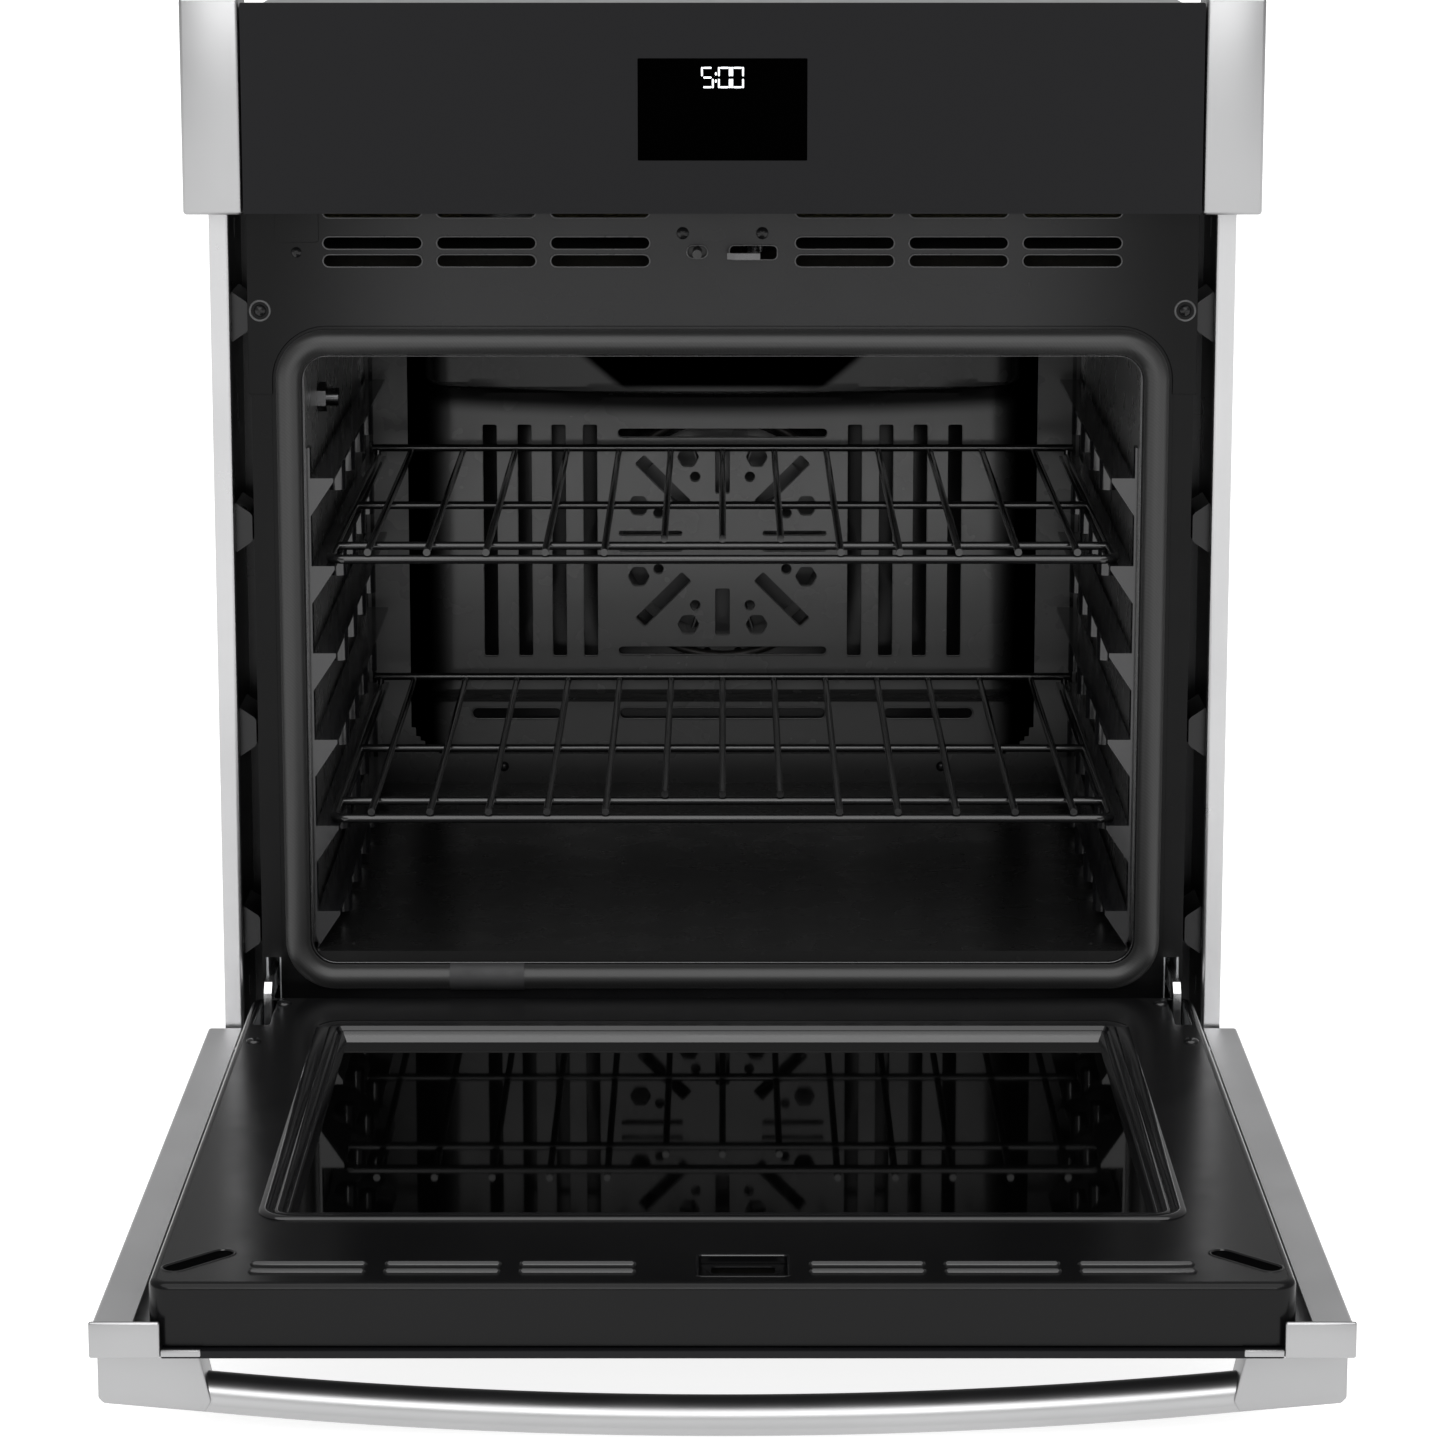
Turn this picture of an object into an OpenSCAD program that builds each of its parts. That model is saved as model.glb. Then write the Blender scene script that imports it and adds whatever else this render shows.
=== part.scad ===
// Built-in electric wall oven with a drop-down door, drawn with the door lowered and level.
// Lengths are in millimetres, +Z is up and the front faces -Y. The origin is the centre of the
// body's base. Depths, the y arguments below, run back from the shut door's front plane.

/* [Body] */
// Width of the body that goes into the cabinet
body_w = 625; // [520:1:750]
// Height of the body
body_h = 740; // [616:1:888]
// Depth of the body behind its face
body_d = 568; // [473:1:682]
// Thickness of the outer sheet metal
sheet = 1.2; // [1:0.1:1.5]
// Depth of the body's face behind the shut door's front plane
face_at = 50; // [48:0.5:60]
// How far the door and control panel reach past the body on each side
overhang = 27.2; // [22:0.1:33]

/* [Mounting trims] */
// Gap between the body's side and the cabinet opening
cabinet_gap = 5; // [4:0.1:6]
// Width of the trim's front flange
flange_w = 11.2; // [9:0.1:14]
// Depth of the trim's wall
trim_depth = 77; // [65:1:92]
// Height of the lowest mounting hole
hole_low = 136.8; // [114:0.1:164]
// Distance between the two mounting holes of a side
hole_span = 407.4; // [340:0.1:489]
// Diameter of a mounting hole
hole_d = 6.5; // [5.4:0.1:7.8]

/* [Cavity] */
// Space between the cavity and the outside of the body, each side
cavity_side = 42.5; // [40:0.1:51]
// Height of the cavity floor above the base
cavity_floor = 129; // [125:1:140]
// Space between the cavity's ceiling and the top of the body
cavity_over = 182; // [178:1:190]
// Space between the cavity's back wall and the back of the body
cavity_behind = 82; // [76:1:98]
// How far the face hangs down over the cavity's ceiling
brow = 31; // [26:0.5:37]
// Thickness of the enamelled sheet
enamel = 1.2; // [1:0.1:1.5]
// Width of the door seal
seal_w = 16; // [13.4:0.1:17]
// How far the seal stands off the face
seal_h = 9.6; // [8:0.1:9.7]

/* [Racks] */
// Height of the lowest guide above the cavity floor
guide_low = 25; // [21:0.5:30]
// Vertical distance between guides
guide_pitch = 58; // [49:0.5:60]
// Number of guides on each wall
guides = 6; // [5:1:6]
// Gap between a rack and the cavity wall
rack_gap = 10; // [8.4:0.1:12]
// Diameter of a rack's frame bars
bar_d = 6; // [5:0.1:7.2]
// Diameter of a rack's rods
rod_d = 4.8; // [4:0.1:5.8]
// Number of rods in a rack
rods = 13; // [11:2:15]

/* [Door] */
// Thickness of the door
door_t = 40; // [38:0.1:40]
// Height of the shut door's lower edge
door_low = 47.3; // [45:0.1:50]
// Gap between the shut door and the control panel
door_gap = 4; // [3.4:0.1:4.8]
// Width of the metal rail along each side of the door
rail_w = 38.3; // [37:0.1:46]
// Thickness of a pane of glass
pane = 4; // [3.4:0.1:4.2]
// Width of the solid border between the door's liner edge and its window
window_side = 49.5; // [46:0.5:56]
// Height of the window's opening in the liner
window_h = 395; // [330:1:400]
// Depth of the hinge axis behind the door's front plane
hinge_y = 11.5; // [11.2:0.1:13]
// Height of the hinge axis
hinge_z = 75; // [72:0.1:76]
// Diameter of the hinge pin
pin_d = 6; // [5:0.1:7]

/* [Handle] */
// Diameter of the handle's bar
handle_d = 22.6; // [18.8:0.1:25]
// Distance from the door's front to the bar's middle
handle_out = 48.8; // [44:0.1:50]
// Radius of the bar's outward bow
bow_r = 2857; // [2400:1:3400]
// Distance from the door's upper edge down to the bar
handle_drop = 43.7; // [38:0.1:52]
// Width of the bracket at each end of the handle
bracket_w = 61.5; // [51:0.5:74]

/* [Control panel] */
// Height of the control panel's glass
panel_h = 132; // [118:1:140]
// How far the panel stands above the body
panel_over = 14.5; // [12:0.1:17]
// Width of the metal cap at each end of the panel
cap_w = 37; // [35:0.1:44]
// Width of the display
display_w = 106.3; // [88:0.1:127]
// Height of the display
display_h = 63.6; // [53:0.1:76]

/* [Vents] */
// Length of a vent slot
vent_l = 63.4; // [53:0.1:67]
// Height of a vent slot
vent_h = 7.7; // [6.4:0.1:9.2]
// Distance from the middle to the first column of slots
vent_first = 78.4; // [76:0.1:90]
// Distance between columns of slots
vent_pitch = 73; // [70:0.1:76]

/* [Fans] */
// Outer radius of the convection fan
fan_r = 75; // [62:0.5:80]
// Number of convection fan blades
fan_blades = 10; // [8:1:14]
// Radius of the cooling blower's wheel
wheel_r = 30; // [25:0.5:34]
// Length of the cooling blower's wheel
wheel_l = 180; // [150:1:216]

/* [Cable inlet] */
// Radius of the hole through the conduit fitting
inlet_r = 11; // [9:0.1:13]

/* [Hidden] */
$fn = 48;

// Colours
STEEL = [0.72, 0.72, 0.73];
ZINC = [0.6, 0.61, 0.62];
BRIGHT = [0.85, 0.85, 0.86];
BLACK_ENAMEL = [0.05, 0.05, 0.05];
GREY_ENAMEL = [0.16, 0.16, 0.17];
BLACK_GLASS = [0.03, 0.03, 0.035];
CLEAR_GLASS = [0.6, 0.65, 0.66, 0.4];
SEAL_GREY = [0.2, 0.2, 0.2];
WOOL = [0.8, 0.76, 0.6];
BOARD_GREEN = [0.1, 0.3, 0.15];
PLASTIC = [0.12, 0.12, 0.12];

// Fits and clearances
hair = 0.01;
run_fit = 0.05;
slip = 0.3;
gap = 1;

// Body
body_x = body_w / 2;
inner_x = body_x - sheet;
front_y = -body_d / 2 - face_at;
back_at = face_at + body_d;
overall_x = body_x + overhang;
frame_x = body_x - 8.6;
frame_t = face_at + sheet;

// Trims
trim_front = face_at - 6;
trim_x = body_x + cabinet_gap;
trim_back = trim_front + trim_depth;
bend_r = 2.4;

// Cavity
cavity_x = body_x - cavity_side;
ceiling = body_h - cavity_over;
cavity_front = frame_t;
cavity_back_at = back_at - cavity_behind;
mouth_x = cavity_x + 0.5;
mouth_low = cavity_floor - 8;
mouth_top = ceiling - brow;
mouth_r = 18;
wool_t = 28;
wool_front = 100;

// Seal: the middle of its section runs this far outside the mouth
seal_x = mouth_x + 9.5;
seal_low = mouth_low - 8.7;
seal_top = mouth_top + 7.7;
seal_corner = 25;
seal_front = face_at - seal_h;

// Racks
bar_r = bar_d / 2;
rod_r = rod_d / 2;
rack_x = cavity_x - rack_gap;
rack_wire_x = rack_x - bar_r;
rack_front = cavity_front + 15;
rack_grip = 50;
rack_back = cavity_back_at - 50;
rod_edge = 28.3;
guide_front = cavity_front + 8;
guide_back = cavity_back_at - 20;
guide_in = 17;
upper_guide = 5;
lower_guide = 2;

// Lamp, probe socket, sensor and element legs
lamp_r = 26;
lamp_x = -150;
lamp_y = 300;
jack_r = 8;
jack_y = cavity_front + 95;
jack_z = ceiling - 73;
leg_x = [cavity_x - 24, cavity_x - 12];
leg_z = ceiling - 20;
sensor_r = 3;
sensor_x = -cavity_x + 20;
sensor_z = ceiling - 50;

// Convection
fan_z = cavity_floor + 195.4;
cover_x = cavity_x - 32;
cover_low = cavity_floor + 22.8;
cover_top = ceiling - 3;
cover_depth = 36;
cover_face_x = 204;
cover_face_low = cavity_floor + 82;
cover_face_top = cavity_floor + 311;
element_r = 3.25;
shaft_r = 4;

// Door, measured shut
door_top = body_h + panel_over - panel_h - door_gap;
liner_x = overall_x - 31;
liner_low = door_low + 8;
liner_top = door_top - 5.5;
glass_x = overall_x - rail_w - 0.4;
window_x = liner_x - window_side;
window_low = seal_low - 0.2;
window_top = window_low + window_h;
window_r = 16;
rail_t = 16;
channel_x = frame_x - 14;
channel_w = 13.5;
pin_r = pin_d / 2;
arm_t = 5;
arm_x = channel_x + 4.25;
arm_low = hinge_z + 29;
arm_high = hinge_z + 43;
eye_r = pin_r + 4;
handle_z = door_top - handle_drop;
handle_r = handle_d / 2;

// Latch and door switch
latch_z = body_h - 150;
hook_x = 20;
hook_y = face_at + 30;
hook_t = 4;
switch_x = -16.2;
switch_z = latch_z + 3;
plunger_out = 17;
plunger_r = 3;

// Control panel
panel_top = body_h + panel_over;
panel_low = panel_top - panel_h;
panel_x = overall_x - cap_w - 1;

// Cooling blower
blower_y = 480;
blower_z = body_h - 85;
blower_wall = 36;

// Inlet
inlet_x = -body_x + 110;
inlet_z = body_h - 50;

// ---- drawing helpers ----

// A box between pairs of x, y (depth) and z
module block(x, y, z) {
    translate([x[0], front_y + y[0], z[0]]) cube([x[1] - x[0], y[1] - y[0], z[1] - z[0]]);
}

// Round bars along each axis
module bar_x(r, x, y, z) {
    translate([x[0], front_y + y, z]) rotate([0, 90, 0]) cylinder(r = r, h = x[1] - x[0]);
}
module bar_y(r, x, y, z) {
    translate([x, front_y + y[1], z]) rotate([90, 0, 0]) cylinder(r = r, h = y[1] - y[0]);
}
module bar_z(r, x, y, z) {
    translate([x, front_y + y, z[0]]) cylinder(r = r, h = z[1] - z[0]);
}

// Extrudes an outline drawn in x and z between two depths
module plate(y) {
    translate([0, front_y + y[1], 0]) rotate([90, 0, 0]) linear_extrude(y[1] - y[0]) children();
}

// Extrudes an outline drawn in y (depth) and z between two x values
module profile(x) {
    translate([x[0], front_y, 0]) rotate([90, 0, 90]) linear_extrude(x[1] - x[0]) children();
}

// Extrudes an outline drawn in x and y (depth) between two heights
module upright(z) {
    translate([0, front_y, z[0]]) linear_extrude(z[1] - z[0]) children();
}

module mirrored() {
    mirror([1, 0, 0]) children();
}
module both_sides() {
    children();
    mirrored() children();
}

// A rectangle with round corners, between pairs of x and z
module round_rect(x, z, r) {
    translate([x[0] + r, z[0]]) square([x[1] - x[0] - 2 * r, z[1] - z[0]]);
    translate([x[0], z[0] + r]) square([x[1] - x[0], z[1] - z[0] - 2 * r]);
    for (a = [x[0] + r, x[1] - r], b = [z[0] + r, z[1] - r]) translate([a, b]) circle(r);
}

// A slot with round ends, centred at x, z
module slot(x, z, l, h) {
    translate([x - l / 2 + h / 2, z - h / 2]) square([l - h, h]);
    for (s = [-1, 1]) translate([x + s * (l - h) / 2, z]) circle(h / 2);
}

// A rod through a list of points, with slightly swollen ball corners
module bent_rod(points, r) {
    for (i = [0:len(points) - 2]) {
        a = points[i];
        d = points[i + 1] - a;
        translate(a) rotate([0, acos(d[2] / norm(d)), atan2(d[1], d[0])])
            cylinder(r = r, h = norm(d));
    }
    for (i = [1:len(points) - 2]) translate(points[i]) sphere(r + 0.1);
}

// Sweeps a section round a rectangle with round corners that faces the front. The section's x
// points outwards and its y points to the front.
module ring(half_x, z, r, y) {
    half_z = (z[1] - z[0]) / 2;
    translate([0, front_y + y, (z[0] + z[1]) / 2]) rotate([90, 0, 0]) {
        for (i = [0:3]) rotate(90 * i) {
            side = i % 2 == 0 ? half_x : half_z;
            other = i % 2 == 0 ? half_z : half_x;
            translate([side, other - r, 0]) rotate([90, 0, 0])
                linear_extrude(2 * (other - r)) children();
            translate([side - r, other - r, 0]) rotate_extrude(angle = 90)
                translate([r, 0]) children();
        }
    }
}

// A winding heating rod between two depths, which starts and ends at its right-hand legs
function winding(y, half, z, legs, end, rows) = concat(
    [[legs[1], end, z], [legs[1], y[0], z]],
    [for (i = [1:2 * rows - 2])
        [i % 4 == 0 || i % 4 == 3 ? half : -half,
        y[0] + floor(i / 2) * (y[1] - y[0]) / (rows - 1), z]],
    [[legs[0], y[1], z], [legs[0], end, z]]
);
module winding_rod(y, half, z, legs, end, rows, r) {
    points = winding(y, half, z, legs, end, rows);
    translate([0, front_y, 0]) bent_rod(points, r);
}

// Turns a part drawn on the shut door to the lowered door
module lowered() {
    translate([0, front_y + hinge_y, hinge_z]) rotate([90, 0, 0])
        translate([0, -front_y - hinge_y, -hinge_z]) children();
}

// A domed screw head with a cross recess on a plane that faces the front
module screw_head(x, y, z, r) {
    difference() {
        translate([x, front_y + y, z]) intersection() {
            translate([0, r * 0.6, 0]) sphere(r * 1.17);
            rotate([90, 0, 0]) cylinder(r = r, h = r);
        }
        for (a = [45, 135]) translate([x, front_y + y, z]) rotate([0, a, 0])
            translate([-r * 0.45, -r, -0.4]) cube([r * 0.9, r * 0.7, 0.8]);
    }
}

// ---- chassis ----

module base_pan() {
    color(ZINC) difference() {
        union() {
            block([-body_x, body_x], [frame_t, back_at - sheet], [0, sheet]);
            for (s = [-1, 1]) block([s * 150 - 20, s * 150 + 20], [frame_t + 20, back_at - 20],
                [sheet, sheet + 6]);
        }
        for (s = [-1, 1]) block([s * 150 - 20 + sheet, s * 150 + 20 - sheet],
            [frame_t + 20 + sheet, back_at - 20 - sheet], [-gap, 6]);
    }
}

module side_panel() {
    low = sheet;
    high = body_h - sheet;
    color(ZINC) difference() {
        union() {
            block([inner_x, body_x], [trim_back, back_at - sheet], [low, high]);
            block([frame_x + slip, inner_x], [trim_back, trim_back + sheet], [low, high]);
            for (z = [low, high - sheet]) block([inner_x - 12, inner_x],
                [trim_back + sheet, back_at - sheet], [z, z + sheet]);
        }
        for (i = [0:5]) block([inner_x - gap, body_x + gap],
            [back_at - 120, back_at - 60], [high - 60 - 14 * i, high - 54 - 14 * i]);
    }
}

module top_panel() {
    color(ZINC) difference() {
        block([-body_x, body_x], [frame_t, back_at - sheet], [body_h - sheet, body_h]);
        for (i = [-4:4]) translate([0, front_y, body_h - 2 * sheet]) linear_extrude(3 * sheet)
            slot(i * 40 + 60, back_at - 60, 30, 6);
    }
}

module rear_panel() {
    color(ZINC) difference() {
        plate([back_at - sheet, back_at]) difference() {
            translate([-body_x, 0]) square([body_w, body_h]);
            translate([inlet_x, inlet_z]) circle(inlet_r + 3);
            for (i = [-5:5], z = [fan_z - 70, body_h - 100]) translate([i * 24 + 40, z])
                round_rect([-3, 3], [-25, 25], 2.9);
        }
    }
}

module bottom_trim() {
    low = 3;
    high = door_low - 4.3;
    color(BLACK_ENAMEL) difference() {
        block([-frame_x, frame_x], [face_at - 14, face_at], [low, high]);
        block([-frame_x + sheet, frame_x - sheet], [face_at - 14 + sheet, face_at + gap],
            [low + sheet, high - sheet]);
        for (i = [-4:4]) plate([face_at - 20, face_at - 10]) slot(i * 62, 22, 40, 5);
    }
}

// The right-hand mounting trim: a front flange, a bend, a wall with pressed pads and a rear return
module side_trim() {
    low = 12;
    high = body_h - 5;
    wall = [trim_x - sheet, trim_x];
    pads = [142, 276, 412, 550];
    pad_in = trim_x - 11.8;
    color(STEEL) difference() {
        union() {
            upright([low, high]) {
                translate([trim_x + bend_r - sheet, trim_front])
                    square([flange_w - bend_r + sheet, sheet]);
                translate([trim_x - sheet, trim_front + bend_r])
                    square([sheet, trim_depth - bend_r]);
                translate([trim_x + bend_r - sheet, trim_front + bend_r])
                    intersection() {
                        difference() {
                            circle(bend_r);
                            circle(bend_r - sheet);
                        }
                        translate([-bend_r, -bend_r]) square(bend_r);
                    }
                translate([frame_x + slip, trim_back - sheet])
                    square([trim_x - frame_x - slip, sheet]);
            }
            for (z = pads) plate([face_at + 6, face_at + 50])
                polygon([[wall[1], z - 17], [wall[1], z + 17], [pad_in + 1.5, z + 10],
                    [pad_in, z + 8], [pad_in, z - 8], [pad_in + 1.5, z - 10]]);
        }
        for (z = pads) plate([face_at + 6 + sheet, face_at + 50 - sheet])
            polygon([[wall[1] + gap, z - 16.2], [wall[1] + gap, z + 16.2],
                [pad_in + sheet + 1.2, z + 8.6], [pad_in + sheet, z + 7],
                [pad_in + sheet, z - 7], [pad_in + sheet + 1.2, z - 8.6]]);
        for (z = [hole_low, hole_low + hole_span])
            bar_x(hole_d / 2, [wall[0] - gap, wall[1] + gap], face_at + 1, z);
        for (z = [96, body_h - 136]) block([wall[0] - gap, wall[1] + gap],
            [face_at + 28, face_at + 32], [z - 5, z + 8]);
    }
}

module face_frame() {
    high = mouth_top + 33;
    color(BLACK_ENAMEL) {
        difference() {
            plate([face_at, frame_t]) difference() {
                translate([-frame_x, sheet]) square([2 * frame_x, high - sheet]);
                round_rect([-mouth_x, mouth_x], [mouth_low, mouth_top], mouth_r);
            }
            both_sides() block([arm_x - 2.5, arm_x + arm_t + 2.5], [face_at - gap, frame_t + gap],
                [arm_low - 12, arm_high + 7]);
        }
        both_sides() {
            block([frame_x - sheet, frame_x], [frame_t, trim_back], [sheet, body_h - sheet]);
            block([arm_x - 3.3, arm_x - 2.5], [face_at - 0.5, face_at],
                [arm_high + 12, mouth_top - 26]);
        }
    }
}

module vent_slots(z) {
    for (i = [0:2], s = [-1, 1]) slot(s * (vent_first + i * vent_pitch), z, vent_l, vent_h);
}

module upper_face_plate() {
    edge = frame_x + 1.6;
    front = face_at - sheet;
    color(BLACK_ENAMEL) {
        plate([front, face_at]) difference() {
            translate([-edge, mouth_top - 26.3]) square([2 * edge, body_h - 5 - mouth_top + 26.3]);
            round_rect([-seal_x - 10, seal_x + 10], [mouth_low, seal_top + 10], 35);
            vent_slots(latch_z - 2.8);
            vent_slots(latch_z + 8.7);
            vent_slots(latch_z + 28.8);
            round_rect([4.5, 35], [latch_z - 2, latch_z + 7], 3);
            slot(switch_x, switch_z, 13, 8);
        }
        block([-frame_x + 17, -frame_x + 45], [front - 0.8, front], [latch_z + 9, panel_low]);
        both_sides() plate([front - 0.6, front]) translate([frame_x - 6.5, mouth_top + 28])
            difference() {
                circle(7.2);
                circle(5.6);
            }
    }
}

module chassis_screws() {
    front = face_at - sheet;
    color(ZINC) {
        both_sides() {
            screw_head(25.5, front, latch_z + 15, 4);
            screw_head(frame_x - 6.5, front, mouth_top + 28, 4);
            screw_head(167.4, cavity_back_at - enamel, cavity_floor + 13, 3.8);
        }
        screw_head(-frame_x + 30.5, front, latch_z + 2.6, 3.5);
    }
}

// ---- cavity ----

module cavity_shell() {
    color(GREY_ENAMEL) difference() {
        union() {
            block([-cavity_x - enamel, cavity_x + enamel], [cavity_front, cavity_back_at],
                [cavity_floor - enamel, ceiling + enamel]);
            block([-cavity_x - 14, cavity_x + 14], [cavity_front, cavity_front + enamel],
                [cavity_floor - 22, ceiling + 14]);
        }
        difference() {
            block([-cavity_x, cavity_x], [cavity_front - gap, cavity_back_at + gap],
                [cavity_floor, ceiling]);
            for (s = [-1, 1]) block([s * 245 - 1, s * 245 + 1], [cavity_front + 18,
                cavity_back_at + 2 * gap], [cavity_floor - gap, cavity_floor + 0.7]);
        }
        bar_z(lamp_r + 2, lamp_x, lamp_y, [ceiling - gap, ceiling + 2 * gap]);
        bar_x(jack_r + slip, [-cavity_x - 2 * gap, -cavity_x + gap], jack_y, jack_z);
    }
}

module cavity_back() {
    y = [cavity_back_at, cavity_back_at + enamel];
    color(GREY_ENAMEL) difference() {
        block([-cavity_x - enamel, cavity_x + enamel], y, [cavity_floor - enamel,
            ceiling + enamel]);
        bar_y(shaft_r + 3, 0, [y[0] - gap, y[1] + gap], fan_z);
        for (x = leg_x) bar_y(element_r + slip, x, [y[0] - gap, y[1] + gap], leg_z);
        for (x = [-12, 12]) bar_y(element_r + slip, x, [y[0] - gap, y[1] + gap],
            fan_z - fan_r - 17);
        bar_y(sensor_r + slip, sensor_x, [y[0] - gap, y[1] + gap], sensor_z);
    }
}

// A blanket round the cavity's floor, sides and ceiling
module insulation_wrap() {
    inner = cavity_x + enamel + gap;
    low = cavity_floor - 30;
    high = ceiling + enamel + gap;
    y = [wool_front, cavity_back_at - gap];
    color(WOOL) difference() {
        block([-inner - wool_t, inner + wool_t], y, [low - wool_t, high + wool_t]);
        block([-inner, inner], [y[0] - gap, y[1] + gap], [low, high]);
        bar_z(lamp_r + 8, lamp_x, lamp_y, [high - gap, high + wool_t + gap]);
        bar_x(jack_r + 3, [-inner - wool_t - gap, -inner + gap], jack_y, jack_z);
    }
}

// Half-round section that sits on the face
module seal_section(r) {
    intersection() {
        translate([0, seal_h - r]) circle(r);
        translate([-2 * r, 0]) square([4 * r, 2 * r]);
    }
}

module door_seal() {
    color(SEAL_GREY) ring(seal_x, [seal_low, seal_top], seal_corner, face_at)
        seal_section(seal_w / 2);
}

// The right-hand guides: two posts and a row of ledges with folded fronts and pressed pads
module rack_support() {
    wall = cavity_x - 2;
    edge = cavity_x - guide_in;
    skin = 1.5;
    top = cavity_floor + guide_low + (guides - 1) * guide_pitch + 20;
    color(BLACK_ENAMEL) {
        for (y = [guide_front, guide_back - 12])
            block([wall, cavity_x], [y, y + 12], [cavity_floor + 4, top]);
        for (i = [0:guides - 1]) {
            z = cavity_floor + guide_low + i * guide_pitch;
            plate([guide_front, guide_back]) polygon([[wall, z], [edge, z], [edge, z - 2.5],
                [wall, z - 25], [wall, z - 22.4], [edge + skin, z - 2.5], [edge + skin, z - skin],
                [wall, z - skin]]);
            plate([guide_front, guide_front + skin])
                polygon([[wall, z], [edge, z], [edge, z - 2.5], [wall, z - 25]]);
            for (y = [80:80:guide_back - guide_front - 60])
                bar_z(6.5, edge + 5, guide_front + y, [z - 20, z]);
        }
    }
}

// A pressed cover over the fan with a hood above it
module fan_cover() {
    base = cavity_back_at;
    face = base - cover_depth;
    hood = face - 30;
    t = 1.2;
    module shell(grow) {
        hull() {
            block([-cover_x + grow, cover_x - grow], [base - hair, base],
                [cover_low + grow, cover_top - grow]);
            block([-cover_face_x + grow, cover_face_x - grow], [face + grow, face + grow + hair],
                [cover_face_low + grow, cover_face_top - grow]);
        }
        hull() {
            block([-cover_x + grow, cover_x - grow], [base - hair, base],
                [cover_face_top + grow - 10, cover_top - grow]);
            block([-cover_face_x + grow, cover_face_x - grow], [hood + grow, hood + grow + hair],
                [cover_face_top + grow + 20, cover_top - grow]);
        }
    }
    color(GREY_ENAMEL) difference() {
        shell(0);
        shell(t);
        block([-cover_x + t, cover_x - t], [base - 2, base + gap], [cover_low + t, cover_top - t]);
        plate([face - gap, face + 4 * t]) cover_slots();
        plate([face - gap, base + gap]) {
            both_sides() slot(157, cover_low + 32, 68, 8.5);
            slot(0, cover_low + 32, 157, 8.5);
        }
    }
}

// The pattern of slots in the fan cover's face
module cover_slots() {
    long = 177;
    both_sides() for (x = [99, 122.5, 148, 174])
        translate([x - 5.5, fan_z - long / 2]) square([11, long]);
    for (z = [82, -84]) slot(0, fan_z + z, 157, 7);
    both_sides() for (z = [-6, 6]) slot(54, fan_z + z, 48, 4);
    for (a = [45, 135, 225, 315]) translate([0, fan_z]) rotate(a)
        translate([38, -5.2]) square([50, 10.4]);
    for (s = [-1, 1]) translate([-5.6, fan_z + s * 54 - 18]) square([11.2, 36]);
    for (sx = [-1, 1], sz = [-1, 1]) translate([0, fan_z]) {
        translate([sx * 25.7, sz * 63.8]) circle(8.6, $fn = 6);
        translate([sx * 20.5, sz * 48.9]) circle(4.6, $fn = 6);
        translate([sx * 62.9, sz * 27]) circle(8.6, $fn = 6);
        translate([sx * 48, sz * 21.3]) circle(4.6, $fn = 6);
    }
}

module bake_element() {
    color(ZINC) winding_rod([cavity_front + 60, cavity_back_at - 70], cavity_x - 60,
        cavity_floor - 17, leg_x, cavity_back_at + 20, 4, element_r);
}

module broil_element() {
    color(PLASTIC) winding_rod([cavity_front + 60, cavity_back_at - 90], cavity_x - 60, leg_z,
        leg_x, cavity_back_at + 20, 4, element_r);
}

module convection_element() {
    y = cavity_back_at - 16;
    r = fan_r + 17;
    color(PLASTIC) {
        translate([0, front_y + y, fan_z]) rotate([90, 0, 0]) rotate_extrude()
            translate([r, 0]) circle(element_r, $fn = 24);
        for (x = [-12, 12]) bar_y(element_r, x, [y, cavity_back_at + 20], fan_z - r);
    }
}

module lamp_lens() {
    color(CLEAR_GLASS) {
        bar_z(lamp_r, lamp_x, lamp_y, [ceiling - 5, ceiling + enamel]);
        bar_z(lamp_r - 5, lamp_x, lamp_y, [ceiling - 8, ceiling - 5]);
    }
}

module lamp_housing() {
    z = ceiling + enamel;
    color(ZINC) difference() {
        bar_z(lamp_r + 5, lamp_x, lamp_y, [z, z + 50]);
        bar_z(lamp_r - 2, lamp_x, lamp_y, [z - gap, z + 48]);
    }
}

module lamp_bulb() {
    z = ceiling + enamel + 48;
    color(CLEAR_GLASS) {
        bar_z(6, lamp_x, lamp_y, [z - 18, z]);
        translate([lamp_x, front_y + lamp_y, z - 26]) sphere(10);
    }
}

module probe_jack() {
    socket_r = 3.2;
    color(BRIGHT) difference() {
        union() {
            bar_x(jack_r, [-cavity_x - 24, -cavity_x], jack_y, jack_z);
            translate([-cavity_x, front_y + jack_y, jack_z]) rotate([0, 90, 0])
                cylinder(r = 10, h = 6, $fn = 6);
            bar_x(6, [-cavity_x, -cavity_x + 14], jack_y, jack_z);
        }
        bar_x(socket_r, [-cavity_x - 16, -cavity_x + 15], jack_y, jack_z);
    }
}

module temperature_sensor() {
    color(BRIGHT) {
        bar_y(sensor_r, sensor_x, [cavity_back_at - 95, cavity_back_at + 14], sensor_z);
        block([sensor_x - 6, sensor_x + 6], [cavity_back_at - 1.5, cavity_back_at],
            [sensor_z - 16, sensor_z + 16]);
    }
}

// ---- motors and electrics ----

module convection_motor() {
    y = cavity_back_at + enamel;
    color(ZINC) difference() {
        union() {
            bar_y(33, 0, [y + 12, y + 55], fan_z);
            for (a = [30, 150, 270]) bar_y(4, 44 * cos(a), [y, y + 14], fan_z + 44 * sin(a));
            bar_y(50, 0, [y + 12, y + 14], fan_z);
        }
        bar_y(shaft_r + run_fit, 0, [y, y + 50], fan_z);
    }
}

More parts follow.
